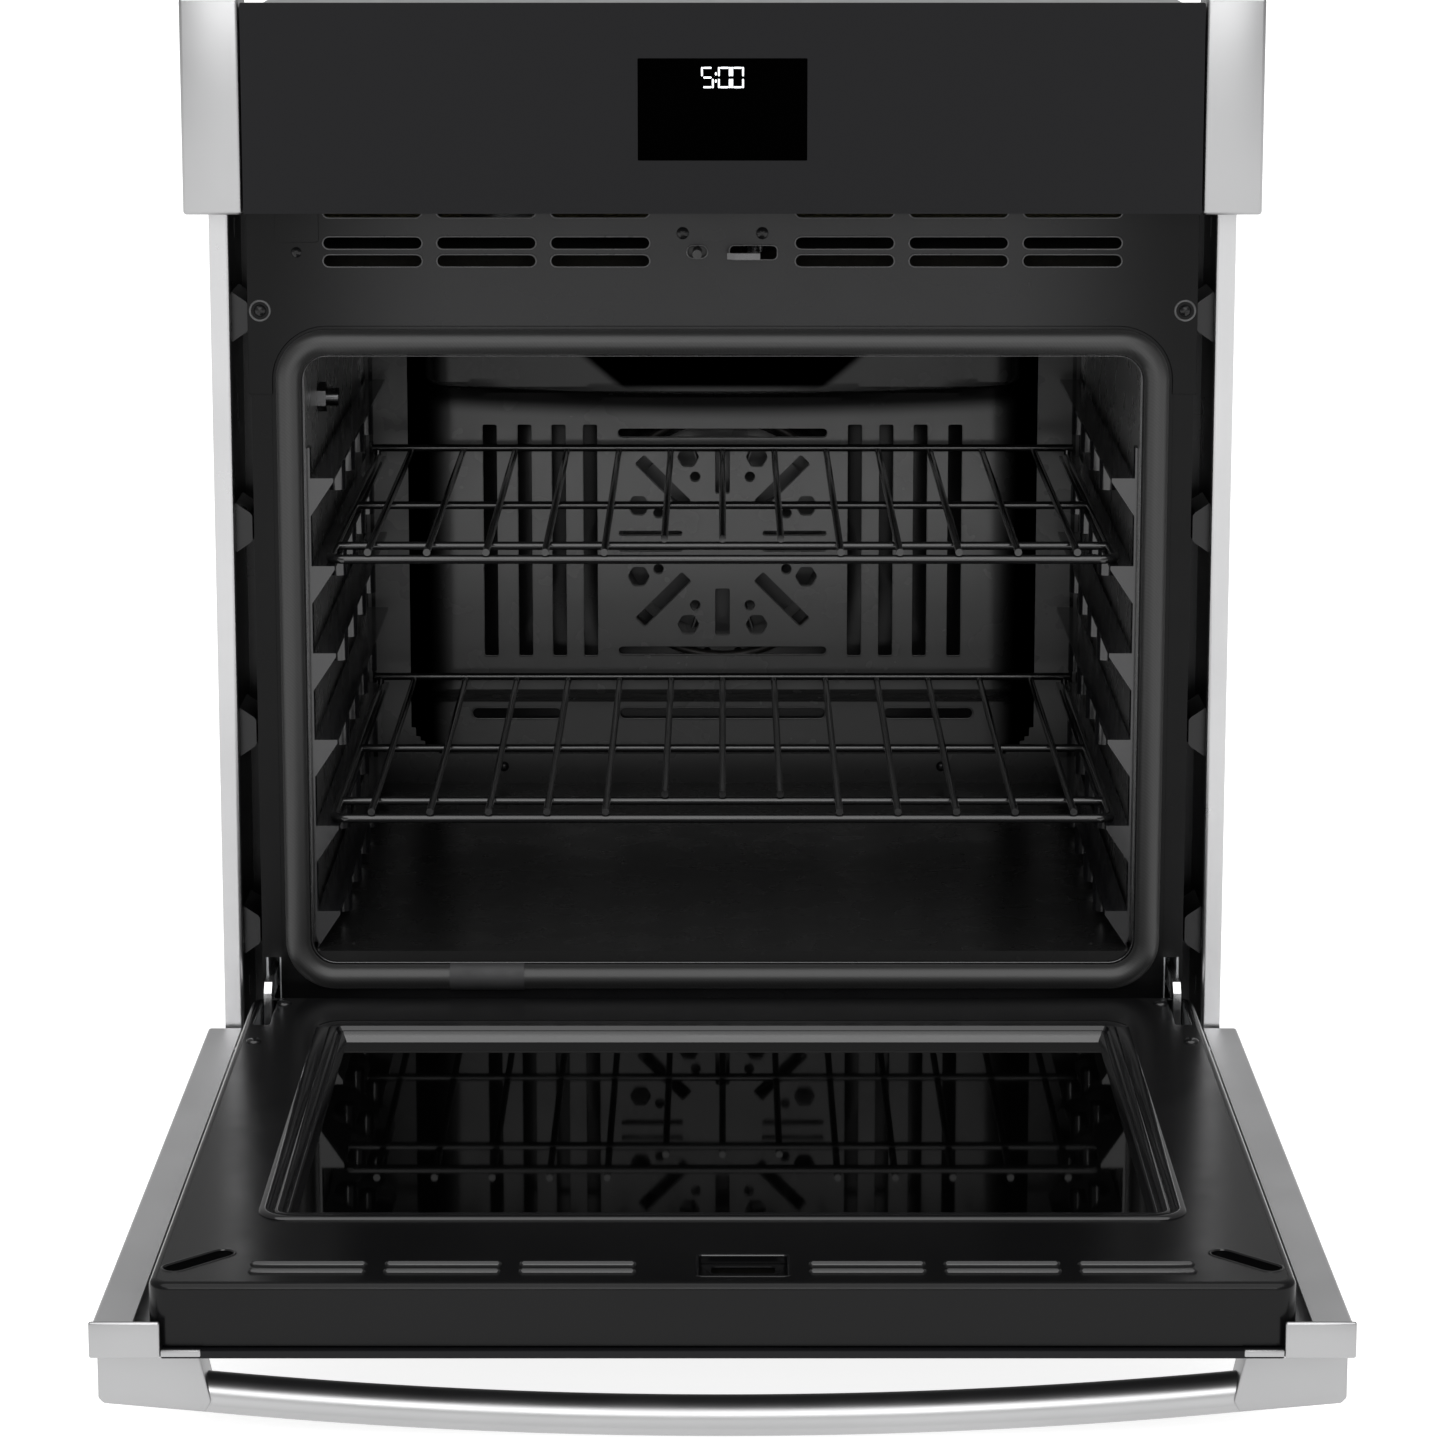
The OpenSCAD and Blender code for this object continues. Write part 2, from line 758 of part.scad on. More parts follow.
module blower_housing() {
    half = wheel_l / 2 + 12;
    y = [blower_y - blower_wall, blower_y + blower_wall];
    z = [blower_z - blower_wall, blower_z + blower_wall];
    color(ZINC) difference() {
        block([-half, half], [y[0] - 25, y[1]], z);
        block([-half + sheet, half - sheet], [y[0] - 26, y[1] - sheet], [z[0] + sheet,
            z[1] - sheet]);
        bar_x(shaft_r + 2, [-half - gap, half + gap], blower_y, blower_z);
        for (x = [-70:28:70]) translate([x, front_y + blower_y, z[0] - gap])
            linear_extrude(4) translate([-7, -22]) square([14, 44]);
    }
}

module blower_motor() {
    half = wheel_l / 2 + 12;
    color(PLASTIC) difference() {
        bar_x(27, [half, half + 42], blower_y, blower_z);
        bar_x(shaft_r + run_fit, [half - gap, half + 24], blower_y, blower_z);
    }
}

// A gearmotor on a bracket that turns the latch hook about its pin
module latch_motor() {
    color(ZINC) {
        block([hook_x - 24, hook_x + 24], [frame_t, hook_y + 30], [latch_z + 14, latch_z + 16]);
        bar_z(17, hook_x, hook_y + 4, [latch_z + 16, latch_z + 44]);
        bar_z(pin_r, hook_x, hook_y, [latch_z - 2, latch_z + 14]);
    }
}

module door_switch() {
    y = frame_t + 2;
    color(PLASTIC) difference() {
        block([switch_x - 8, switch_x + 8], [y, y + 32], [switch_z - 9, switch_z + 9]);
        bar_y(plunger_r + run_fit, switch_x, [y - gap, y + 26], switch_z);
    }
}

module power_board() {
    x = [60, 200];
    y = [200, 330];
    z = body_h - 40;
    color(BOARD_GREEN) {
        block(x, y, [z, z + 1.6]);
        for (i = [0:4]) block([x[0] + 8 + 26 * i, x[0] + 28 + 26 * i], [y[0] + 12, y[0] + 42],
            [z + 1.6, z + 18]);
        block([x[0] + 20, x[0] + 70], [y[0] + 60, y[0] + 110], [z + 1.6, z + 26]);
        for (i = [0:3]) bar_z(6, x[0] + 90 + 14 * i, y[0] + 80, [z + 1.6, z + 22]);
    }
}

module terminal_box() {
    x = [inlet_x - 40, inlet_x + 40];
    y = [back_at - sheet - 62, back_at - sheet];
    z = [inlet_z - 34, inlet_z + 34];
    color(ZINC) difference() {
        block(x, y, z);
        block([x[0] + sheet, x[1] - sheet], [y[0] + sheet, y[1] + gap], [z[0] + sheet,
            z[1] - sheet]);
    }
}

module conduit_fitting() {
    y = [back_at, back_at + 12];
    color(ZINC) difference() {
        union() {
            bar_y(inlet_r + 2.8, inlet_x, [back_at - sheet - 10, back_at], inlet_z);
            translate([inlet_x, front_y + y[1], inlet_z]) rotate([90, 0, 0])
                cylinder(r = inlet_r + 7, h = y[1] - y[0] - 6, $fn = 6);
            bar_y(inlet_r + 5, inlet_x, [y[0], y[0] + 7], inlet_z);
        }
        bar_y(inlet_r, inlet_x, [back_at - 20, back_at + 20], inlet_z);
    }
}

// ---- hinges ----

// U-shaped sockets behind the face that the hinge arms hook into
module hinge_receivers() {
    x = [arm_x - 3, arm_x + arm_t + 2.6];
    y = [frame_t, wool_front - 5];
    z = [arm_low - 8, arm_high + 8];
    color(ZINC) both_sides() {
        block([x[0], x[0] + 1.5], y, z);
        block([x[1] - 1.5, x[1]], y, z);
        block(x, [y[1] - 1.5, y[1]], z);
        bar_x(2.5, x, y[0] + 25, arm_low - 3);
    }
}

// The right-hand arm: its eye takes the door's pin, its neck passes the liner and its end hooks in
module hinge_arm() {
    eye = [hinge_y, hinge_z];
    far = frame_t + 36;
    color(BRIGHT) difference() {
        profile([arm_x, arm_x + arm_t]) {
            translate(eye) circle(eye_r);
            polygon([[eye[0] + eye_r - 1.5, eye[1] - 3], [eye[0] + eye_r - 1, arm_low - 12],
                [eye[0] + 19, arm_low + 1], [frame_t + 29.5, arm_low + 1],
                [frame_t + 29.5, arm_low - 4], [far, arm_low - 4], [far, arm_high - 4],
                [far - 4, arm_high], [eye[0] + 3, arm_high], [eye[0] - eye_r + 4, arm_high - 6],
                [eye[0] - eye_r + 1.5, eye[1] - 3]]);
        }
        bar_x(pin_r + run_fit, [arm_x - gap, arm_x + arm_t + gap], hinge_y, hinge_z);
    }
}

// Channels inside the door that carry the hinge pins
module hinge_bodies() {
    side = 1.5;
    low = door_low + 10;
    color(ZINC) lowered() both_sides() {
        for (x = [channel_x, channel_x + channel_w - side])
            block([x, x + side], [pane + 1, door_t - 2], [low, low + 200]);
        block([channel_x + side, channel_x + channel_w - side], [pane + 1, pane + 1 + side],
            [low + 72, low + 200]);
        bar_x(pin_r, [channel_x - 1, channel_x + channel_w + 1], hinge_y, hinge_z);
        bar_x(1.5, [channel_x + side, channel_x + channel_w - side], hinge_y + 11, low + 190);
    }
}

// Close-wound springs inside the channels
module hinge_springs() {
    low = door_low + 105;
    turns = 34;
    wire = 1;
    color(BRIGHT) lowered() both_sides() {
        translate([channel_x + channel_w / 2, front_y + hinge_y + 11, low]) rotate_extrude()
            difference() {
                union() {
                    translate([2.8, 0]) square([1, 2 * turns * wire]);
                    for (i = [0:turns - 1]) translate([3.8, (2 * i + 1) * wire])
                        circle(wire, $fn = 16);
                }
                translate([0, -gap]) square([2.8, 2 * turns * wire + 2 * gap]);
            }
    }
}

// ---- control panel ----

module control_glass() {
    color(BLACK_GLASS) plate([0, pane])
        round_rect([-panel_x, panel_x], [panel_low, panel_top], 1.2);
}

module control_cap() {
    x = [overall_x - cap_w, overall_x];
    z = [panel_low - 0.8, panel_top + 2.6];
    depth = trim_front - slip;
    r = 2;
    color(STEEL) difference() {
        upright(z) {
            translate([x[0] + r, 0]) square([cap_w - 2 * r, depth]);
            translate([x[0], r]) square([cap_w, depth - r]);
            for (a = [x[0] + r, x[1] - r]) translate([a, r]) circle(r);
        }
        block([x[0] + sheet, x[1] - sheet], [sheet + r, depth + gap], [z[0] + sheet,
            z[1] - sheet]);
    }
}

module control_housing() {
    x = overall_x - cap_w - 2;
    y = [pane, face_at - sheet];
    z = [panel_low + 1, panel_top - 3];
    hole_z = (panel_low + panel_top) / 2;
    color(PLASTIC) difference() {
        block([-x, x], y, z);
        block([-x + 1.5, x - 1.5], [y[0] + 1.5, y[1] + gap], [z[0] + 1.5, z[1] - 1.5]);
        block([-display_w / 2 - 2, display_w / 2 + 2], [y[0] - gap, y[0] + 3],
            [hole_z - display_h / 2 - 2, hole_z + display_h / 2 + 2]);
    }
}

module display_module() {
    z = (panel_low + panel_top) / 2;
    color(BLACK_GLASS) block([-display_w / 2, display_w / 2], [pane, pane + 14],
        [z - display_h / 2, z + display_h / 2]);
}

// ---- moving parts in the cavity ----

module rack(guide) {
    seat = cavity_floor + guide_low + (guide - 1) * guide_pitch + slip;
    wire_z = seat + bar_r;
    rod_z = wire_z + bar_r + rod_r - 0.3;
    back_z = rod_z + rod_r;
    pitch = 2 * (rack_x - rod_edge) / (rods - 1);
    bend = 10;
    cross_r = bar_r - 0.2;
    color(PLASTIC) {
        both_sides() {
            bar_y(bar_r, rack_wire_x, [rack_front + bend, rack_back + 8], wire_z);
            translate([rack_wire_x - bend, front_y + rack_front + bend, wire_z])
                rotate([0, 0, -90]) rotate_extrude(angle = 90) translate([bend, 0])
                    circle(bar_r);
            bar_z(rod_r, rack_wire_x, rack_back, [wire_z, back_z]);
        }
        bar_x(bar_r, [-rack_wire_x + bend, rack_wire_x - bend], rack_front, wire_z);
        for (y = [rack_front + rack_grip, (rack_front + rack_back) / 2])
            bar_x(cross_r, [-rack_wire_x, rack_wire_x], y, wire_z);
        bar_x(cross_r, [-rack_x - 1, rack_x + 1], rack_back, back_z);
        for (i = [0:rods - 1]) {
            from_middle = abs(i - (rods - 1) / 2);
            start = from_middle < 1.5 ? rack_front + rack_grip - 3 : rack_front - 3;
            bar_y(rod_r, (i - (rods - 1) / 2) * pitch, [start, rack_back], rod_z);
        }
    }
}

module convection_fan() {
    disc = cavity_back_at - 8;
    tip = cavity_back_at - 26;
    color(ZINC) {
        bar_y(fan_r, 0, [disc, disc + 1.2], fan_z);
        bar_y(12, 0, [tip + 4, disc], fan_z);
        bar_y(shaft_r, 0, [disc, cavity_back_at + 48], fan_z);
        for (i = [0:fan_blades - 1]) translate([0, 0, fan_z]) rotate([0, i * 360 / fan_blades, 0])
            translate([0, 0, -fan_z]) block([fan_r - 42, fan_r - 1], [tip, disc + 1],
                [fan_z - 0.6, fan_z + 0.6]);
    }
}

module blower_wheel() {
    half = wheel_l / 2;
    vanes = 24;
    color(ZINC) {
        for (x = [-half, -0.75, half - 1.5]) bar_x(wheel_r, [x, x + 1.5], blower_y, blower_z);
        bar_x(shaft_r, [-half - 11, half + 34], blower_y, blower_z);
        for (i = [0:vanes - 1]) translate([0, front_y + blower_y, blower_z])
            rotate([i * 360 / vanes, 0, 0]) translate([-half, -0.4, wheel_r - 9])
                cube([wheel_l, 0.8, 8.8]);
    }
}

module latch_hook() {
    tip = door_t - 10;
    color(BRIGHT) difference() {
        upright([latch_z, latch_z + hook_t]) {
            translate([hook_x, hook_y]) circle(8);
            translate([hook_x - 4, tip]) square([8, hook_y - tip]);
            polygon([[hook_x + 4, tip], [hook_x + 4, tip + 4], [hook_x - 17, tip + 4],
                [hook_x - 17, tip + 2.5], [hook_x - 12, tip]]);
        }
        bar_z(pin_r + run_fit, hook_x, hook_y, [latch_z - gap, latch_z + hook_t + gap]);
    }
}

module switch_plunger() {
    color(PLASTIC) bar_y(plunger_r, switch_x, [face_at - plunger_out, frame_t + 18], switch_z);
}

// ---- door, drawn shut and lowered ----

module door_outer_glass() {
    color(BLACK_GLASS) lowered() plate([0, pane])
        round_rect([-glass_x, glass_x], [door_low + 0.5, door_top - 0.5], 1.2);
}

module door_middle_glass() {
    color(CLEAR_GLASS) lowered() plate([13, 13 + pane - 1])
        round_rect([-window_x + 2, window_x - 2], [window_low + 2, window_top - 2], 6);
}

module door_inner_glass() {
    back = door_t - 9;
    color(CLEAR_GLASS) lowered() plate([back - pane, back])
        round_rect([-window_x + 8, window_x - 8], [window_low + 8, window_top - 8], 6);
}

// A stepped frame that holds the inner pane in the liner's opening
module door_window_frame() {
    back = door_t - 9;
    ledge = 15;
    color(BLACK_ENAMEL) lowered() difference() {
        plate([back - pane - 3, door_t - 0.2]) round_rect([-window_x + slip, window_x - slip],
            [window_low + slip, window_top - slip], window_r);
        plate([back - pane - 4, door_t + gap]) round_rect([-window_x + ledge + 8,
            window_x - ledge - 8], [window_low + ledge + 8, window_top - ledge - 8], 8);
        plate([back - hair, door_t + gap]) round_rect([-window_x + ledge, window_x - ledge],
            [window_low + ledge, window_top - ledge], 12);
        plate([door_t - 5, door_t + gap]) round_rect([-window_x + 9, window_x - 9],
            [window_low + 9, window_top - 9], 12);
        plate([back - pane, back]) round_rect([-window_x + 8 - hair, window_x - 8 + hair],
            [window_low + 8 - hair, window_top - 8 + hair], 6);
    }
}

module door_liner() {
    skin = [door_t - sheet, door_t];
    edge_r = 3;
    recess = [latch_z - 24, latch_z + 10];
    color(BLACK_ENAMEL) lowered() {
        difference() {
            plate([pane + 1, door_t])
                round_rect([-liner_x, liner_x], [liner_low, liner_top], edge_r);
            plate([pane, door_t - sheet]) round_rect([-liner_x + sheet, liner_x - sheet],
                [liner_low + sheet, liner_top - sheet], edge_r - 1);
            plate([skin[0] - gap, skin[1] + gap]) {
                round_rect([-window_x, window_x], [window_low, window_top], window_r);
                for (z = [latch_z - 8.8, latch_z + 3.2], i = [0:2], s = [-1, 1])
                    slot(s * (vent_first + i * vent_pitch), z, vent_l, 5);
                round_rect([-13.3, 35.5], recess, 2);
            }
            both_sides() block([arm_x - 2.5, arm_x + arm_t + 2.5], [pane, door_t + gap],
                [liner_low - gap, arm_high + 3]);
            both_sides() plate([skin[0] - gap, skin[1] + gap])
                translate([liner_x - 24, liner_top - 38]) rotate(-50) slot(0, 0, 46, 13);
        }
        // the latch pocket, with the slot that its hook enters
        difference() {
            plate([door_t - 6.2, skin[0]]) round_rect([-14.5, 36.7], [recess[0] - 1.2,
                recess[1] + 1.2], 3);
            plate([door_t - 5, skin[1]]) round_rect([-13.3, 35.5], recess, 2);
            plate([door_t - 7, skin[1]]) {
                round_rect([-6, 28.5], [latch_z - 3, latch_z + 7], 2);
                round_rect([-6, 28.5], [latch_z - 19, latch_z - 9], 2);
            }
        }
        // oblong pockets over the handle screws
        both_sides() difference() {
            plate([door_t - 6.2, skin[0]]) translate([liner_x - 24, liner_top - 38]) rotate(-50)
                slot(0, 0, 48.4, 15.4);
            plate([door_t - 5, skin[1]]) translate([liner_x - 24, liner_top - 38]) rotate(-50)
                slot(0, 0, 46, 13);
        }
    }
}

// A wool frame between the window and the door's edge
module door_insulation() {
    edge = channel_x - 2;
    color(WOOL) lowered() difference() {
        plate([18, door_t - sheet - gap]) difference() {
            translate([-edge, liner_low + 4]) square([2 * edge, liner_top - liner_low - 8]);
            translate([-window_x - 2, window_low - 2])
                square([2 * window_x + 4, window_h + 4]);
        }
        block([-26, 48], [17, door_t], [latch_z - 30, latch_z + 18]);
        both_sides() block([liner_x - 48, liner_x], [door_t - 8, door_t], [liner_top - 66,
            liner_top]);
    }
}

// The right-hand rail: a folded front, side and back, closed by a plate at the door's upper edge
module door_rail() {
    x = [overall_x - rail_w, overall_x];
    r = 2;
    color(STEEL) lowered() {
        difference() {
            upright([door_low, door_top - 1.5]) {
                difference() {
                    union() {
                        translate([x[0], 0]) square([rail_w - r, rail_t]);
                        translate([x[0], r]) square([rail_w, rail_t - r]);
                        translate([x[1] - r, r]) circle(r);
                    }
                    translate([x[0] - gap, sheet]) square([rail_w - sheet + gap,
                        rail_t - 2 * sheet]);
                    translate([x[0] - gap, rail_t - sheet - hair]) square([gap + rail_w - 22.2,
                        2 * sheet]);
                }
            }
        }
        block(x, [0, rail_t + 4.3], [door_top - 1.5, door_top]);
    }
}

// ---- handle ----

module handle_path(r, angle) {
    translate([0, front_y - handle_out + bow_r, handle_z]) rotate(-90 - angle)
        rotate_extrude(angle = 2 * angle, $fn = 360) translate([bow_r, 0]) circle(r, $fn = 48);
}

module handle_bar() {
    reach = asin((overall_x - bracket_w + 14) / bow_r);
    color(STEEL) lowered() handle_path(handle_r, reach);
}

module handle_brackets() {
    inner = overall_x - bracket_w;
    z = [handle_z - 13, handle_z + 13];
    front = -handle_out + pow(overall_x - 20, 2) / (2 * bow_r) - handle_r + 2;
    color(STEEL) lowered() difference() {
        both_sides() upright(z) polygon([[inner + 8, -hair], [inner, front + 4],
            [inner + 3, front - 2], [overall_x - 3, front + 3], [overall_x, front + 6],
            [overall_x, -hair]]);
        handle_path(handle_r + run_fit, asin((overall_x - bracket_w + 14.1) / bow_r));
    }
}

base_pan();
mirrored() side_panel();  // side_panel_left
side_panel();  // side_panel_right
top_panel();
rear_panel();
bottom_trim();
mirrored() side_trim();  // side_trim_left
side_trim();  // side_trim_right
face_frame();
upper_face_plate();
chassis_screws();
cavity_shell();
cavity_back();
insulation_wrap();
door_seal();
mirrored() rack_support();  // rack_support_left
rack_support();  // rack_support_right
fan_cover();
bake_element();
broil_element();
convection_element();
lamp_lens();
lamp_housing();
lamp_bulb();
probe_jack();
temperature_sensor();
convection_motor();
blower_housing();
blower_motor();
latch_motor();
door_switch();
power_board();
terminal_box();
conduit_fitting();
hinge_receivers();
mirrored() hinge_arm();  // hinge_arm_left
hinge_arm();  // hinge_arm_right
control_glass();
mirrored() control_cap();  // control_cap_left
control_cap();  // control_cap_right
control_housing();
display_module();
rack(upper_guide);  // rack_upper
rack(lower_guide);  // rack_lower
convection_fan();
blower_wheel();
latch_hook();
switch_plunger();
door_outer_glass();
door_middle_glass();
door_inner_glass();
door_window_frame();
door_liner();
door_insulation();
mirrored() door_rail();  // door_rail_left
door_rail();  // door_rail_right
hinge_bodies();
hinge_springs();
handle_bar();
handle_brackets();
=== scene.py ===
"""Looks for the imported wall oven. Helper lengths are in millimetres: x, q (depth behind the shut
door's front plane) and z, as in the CAD source."""
import math

import bmesh
import bpy
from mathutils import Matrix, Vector


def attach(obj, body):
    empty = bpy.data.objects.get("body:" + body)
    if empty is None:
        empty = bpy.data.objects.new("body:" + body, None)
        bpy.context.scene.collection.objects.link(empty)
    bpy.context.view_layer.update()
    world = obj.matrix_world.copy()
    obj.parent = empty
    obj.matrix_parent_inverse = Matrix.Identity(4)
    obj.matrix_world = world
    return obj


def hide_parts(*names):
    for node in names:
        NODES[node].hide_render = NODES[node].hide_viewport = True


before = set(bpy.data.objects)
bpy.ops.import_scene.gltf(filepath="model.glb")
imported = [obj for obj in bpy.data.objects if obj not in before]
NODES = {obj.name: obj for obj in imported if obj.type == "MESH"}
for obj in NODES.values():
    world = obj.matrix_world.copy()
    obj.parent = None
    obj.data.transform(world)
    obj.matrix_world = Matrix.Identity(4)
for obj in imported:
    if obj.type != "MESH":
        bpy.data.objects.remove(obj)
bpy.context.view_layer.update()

# ---- sizes shared with the CAD model ----
FRONT = -334.0  # the row's Y at the front plane of the shut door
HINGE_Q, HINGE_Z = 11.5, 75.0
OVERALL_X = 339.7
FAN_Z = 324.4
FACE_Q = 50  # front of the casing's face
CAP_X, CAP_DEPTH, CAP_LOW, CAP_TOP = 302.7, 43.6, 621.7, 757.1
SCREEN_X, SCREEN_LOW, SCREEN_TOP = 53.2, 656, 720
VENT_X, VENT_PITCH, VENT_L = 78.4, 73, 63.4  # nearest vent, spacing and length
SEAL_X, SEAL_LOW, SEAL_TOP, SEAL_CORNER, SEAL_R = 280, 112.3, 534.7, 25, 8
COVER_X, COVER_LOW, COVER_Q = 238, 151.8, 535.9
COVER_CORNER = 30
DOOR_LOW, DOOR_TOP, DOOR_T = 47.3, 618.5, 40.0
LINER_X, LINER_LOW, LINER_TOP = 308.7, 55.3, 613.0
WINDOW_X, WINDOW_LOW, WINDOW_TOP = 259.2, 112.1, 507.1
WINDOW_CORNER = 16
RAIL_X, RAIL_LIP_X, RAIL_DEPTH = 301.4, 317.6, 16
HANDLE_Z, HANDLE_OUT, HANDLE_R, BOW_R = 574.8, 48.8, 11.3, 2857.0
BRACKET_W, BRACKET_HALF_H = 61.5, 13

# ---- camera ----
CAMERA_AT = (0, -3.1514, 0.9181)
CAMERA_PITCH = 10.63  # degrees below the horizon
LENS_MM, LENS_SHIFT = 111.773, -0.10


def fixed(x, q, z):
    """A point of the chassis, in metres in the row frame."""
    return (x / 1000, (FRONT + q) / 1000, z / 1000)


def door(x, q, z):
    """A point of the door, given where it is on the shut door."""
    return fixed(x, HINGE_Q - (z - HINGE_Z), HINGE_Z + (q - HINGE_Q))


# ---- materials ----

def material(name, base, rough=0.5, metal=0.0, **sockets):
    """A plain Principled material; further sockets are named with _ for each space."""
    m = bpy.data.materials.new(name)
    m.use_nodes = True
    nt = m.node_tree
    b = nt.nodes["Principled BSDF"]
    b.inputs["Base Color"].default_value = (*base, 1)
    b.inputs["Roughness"].default_value = rough
    b.inputs["Metallic"].default_value = metal
    for k, v in sockets.items():
        b.inputs[k.replace("_", " ")].default_value = v
    m.diffuse_color = (*base, 1)
    return m, nt, b


def coords(nt, scale=(1, 1, 1)):
    """Object coordinates, stretched by scale."""
    t = nt.nodes.new("ShaderNodeTexCoord")
    m = nt.nodes.new("ShaderNodeMapping")
    m.inputs["Scale"].default_value = scale
    nt.links.new(t.outputs["Object"], m.inputs["Vector"])
    return m.outputs["Vector"]


def noise(nt, vec, scale, detail=3.0, rough=0.5):
    n = nt.nodes.new("ShaderNodeTexNoise")
    n.inputs["Scale"].default_value = scale
    n.inputs["Detail"].default_value = detail
    n.inputs["Roughness"].default_value = rough
    nt.links.new(vec, n.inputs["Vector"])
    return n.outputs["Fac"]


def ramp(nt, fac, stops):
    r = nt.nodes.new("ShaderNodeValToRGB")
    e = r.color_ramp.elements
    while len(e) < len(stops):
        e.new(0.5)
    for el, (p, c) in zip(e, stops):
        el.position = p
        el.color = (*c, 1) if hasattr(c, "__len__") else (c, c, c, 1)
    nt.links.new(fac, r.inputs["Fac"])
    return r.outputs["Color"]


def bump(nt, b, height, strength, distance):
    n = nt.nodes.new("ShaderNodeBump")
    n.inputs["Strength"].default_value = strength
    n.inputs["Distance"].default_value = distance
    nt.links.new(height, n.inputs["Height"])
    nt.links.new(n.outputs["Normal"], b.inputs["Normal"])


def varied(name, base, rough, metal=0.0, spread=0.08, scale=18.0, rough_spread=0.05,
           grain=900.0, grain_height=0.00004, stretch=(1, 1, 1), **sockets):
    """A finish whose colour and gloss drift slowly, with a fine grain in its surface."""
    m, nt, b = material(name, base, rough, metal, **sockets)
    vec = coords(nt)
    f = noise(nt, vec, scale)
    lo = [c * (1 - spread) for c in base]
    hi = [min(1, c * (1 + spread)) for c in base]
    nt.links.new(ramp(nt, f, [(0.3, lo), (0.7, hi)]), b.inputs["Base Color"])
    nt.links.new(ramp(nt, noise(nt, vec, scale * 2.3), [(0.3, max(0.02, rough - rough_spread)),
                                                        (0.7, rough + rough_spread)]),
                 b.inputs["Roughness"])
    g = noise(nt, coords(nt, stretch), grain, 2.0)
    bump(nt, b, g, 0.25, grain_height)
    return m


def along(nt, axis, absolute=False):
    """The object coordinate on one axis, in metres."""
    t = nt.nodes.new("ShaderNodeTexCoord")
    x = nt.nodes.new("ShaderNodeSeparateXYZ")
    nt.links.new(t.outputs["Object"], x.inputs["Vector"])
    return worked(nt, "ABSOLUTE", x.outputs[axis]) if absolute else x.outputs[axis]


def worked(nt, kind, a, b=None):
    """A Math node's result for two values."""
    m = nt.nodes.new("ShaderNodeMath")
    m.operation = kind
    nt.links.new(a, m.inputs[0])
    if isinstance(b, (int, float)):
        m.inputs[1].default_value = b
    elif b is not None:
        nt.links.new(b, m.inputs[1])
    return m.outputs[0]


def step(nt, value, low, high, start=0.0, end=1.0):
    """Eases from start to end as the value goes from low to high."""
    n = nt.nodes.new("ShaderNodeMapRange")
    n.interpolation_type = "SMOOTHSTEP"
    for key, v in (("From Min", low), ("From Max", high), ("To Min", start), ("To Max", end)):
        n.inputs[key].default_value = v
    nt.links.new(value, n.inputs["Value"])
    return n.outputs["Result"]


def shade(nt, b, factor):
    """Multiplies the base colour by a factor."""
    m = nt.nodes.new("ShaderNodeMix")
    m.data_type = "RGBA"
    m.blend_type = "MULTIPLY"
    m.inputs["Factor"].default_value = 1.0
    old = b.inputs["Base Color"].links[0].from_socket
    nt.links.new(old, m.inputs[6])
    nt.links.new(factor, m.inputs[7])
    nt.links.new(m.outputs[2], b.inputs["Base Color"])


def principled(m):
    return m.node_tree, m.node_tree.nodes["Principled BSDF"]


STEEL = varied("satin_steel", (0.35, 0.35, 0.354), 0.34, 1.0, 0.03, 9, 0.03, 700, 0.00002)
BRUSHED = varied("brushed_steel", (0.40, 0.40, 0.404), 0.36, 1.0, 0.03, 9, 0.03, 260, 0.00001,
                 (0.06, 1, 6))
RAIL = varied("rail_steel", (0.62, 0.62, 0.627), 0.46, 1.0, 0.03, 9, 0.03, 700, 0.00002)
# the rims are lighter than the black face plate: a painted highlight along the slot edges
RIM_PAINTED_HIGHLIGHT = varied("pressed_rim_painted_highlight", (0.05, 0.05, 0.051), 0.30, 0.0, 0.1, 60, 0.03)
BRIGHT = varied("bright_steel", (0.60, 0.60, 0.61), 0.20, 1.0, 0.06, 60, 0.05)
DARK_STEEL = varied("dark_steel", (0.10, 0.10, 0.102), 0.25, 1.0, 0.06, 60, 0.05)
BLACK_GLASS = varied("black_glass", (0.0062, 0.0062, 0.007), 0.06, 0.0, 0.02, 5, 0.01, 300,
                     0.000001, Specular_IOR_Level=0.12)
DOOR_GLASS = varied("door_glass", (0.0004, 0.0004, 0.0004), 0.03, 0.0, 0.02, 5, 0.008, 300,
                    0.000001, Specular_IOR_Level=0.3, IOR=1.28)
ENAMEL = varied("black_enamel", (0.006, 0.006, 0.0064), 0.24, 0.0, 0.12, 14, 0.04, 1400,
                0.00001, Specular_IOR_Level=0.28)
FACE = varied("face_enamel", (0.0075, 0.0075, 0.008), 0.24, 0.0, 0.12, 14, 0.04, 1400,
              0.00001, Specular_IOR_Level=0.28)
LINER = varied("liner_enamel", (0.003, 0.003, 0.0032), 0.22, 0.0, 0.1, 10, 0.03, 1500, 0.00001,
               Specular_IOR_Level=0.16)
BEAD = varied("bead_enamel", (0.005, 0.005, 0.0054), 0.12, 0.0, 0.1, 10, 0.02, 1500, 0.000005,
              Specular_IOR_Level=0.45)
RACK = varied("rack_enamel", (0.006, 0.006, 0.0063), 0.15, 0.0, 0.05, 60, 0.02, 900, 0.000002,
              Specular_IOR_Level=0.6)
SUPPORT = varied("support_enamel", (0.008, 0.008, 0.009), 0.14, 0.0, 0.1, 60, 0.03, 900,
                 0.000006, Specular_IOR_Level=0.7)
ZINC = varied("galvanised", (0.42, 0.43, 0.44), 0.42, 0.9, 0.1, 90, 0.08)
PLASTIC = varied("black_plastic", (0.012, 0.012, 0.012), 0.5, 0.0, 0.15, 80, 0.06, 1200, 0.00008)
BOARD = varied("circuit_board", (0.02, 0.10, 0.045), 0.45, 0.0, 0.3, 300, 0.1)
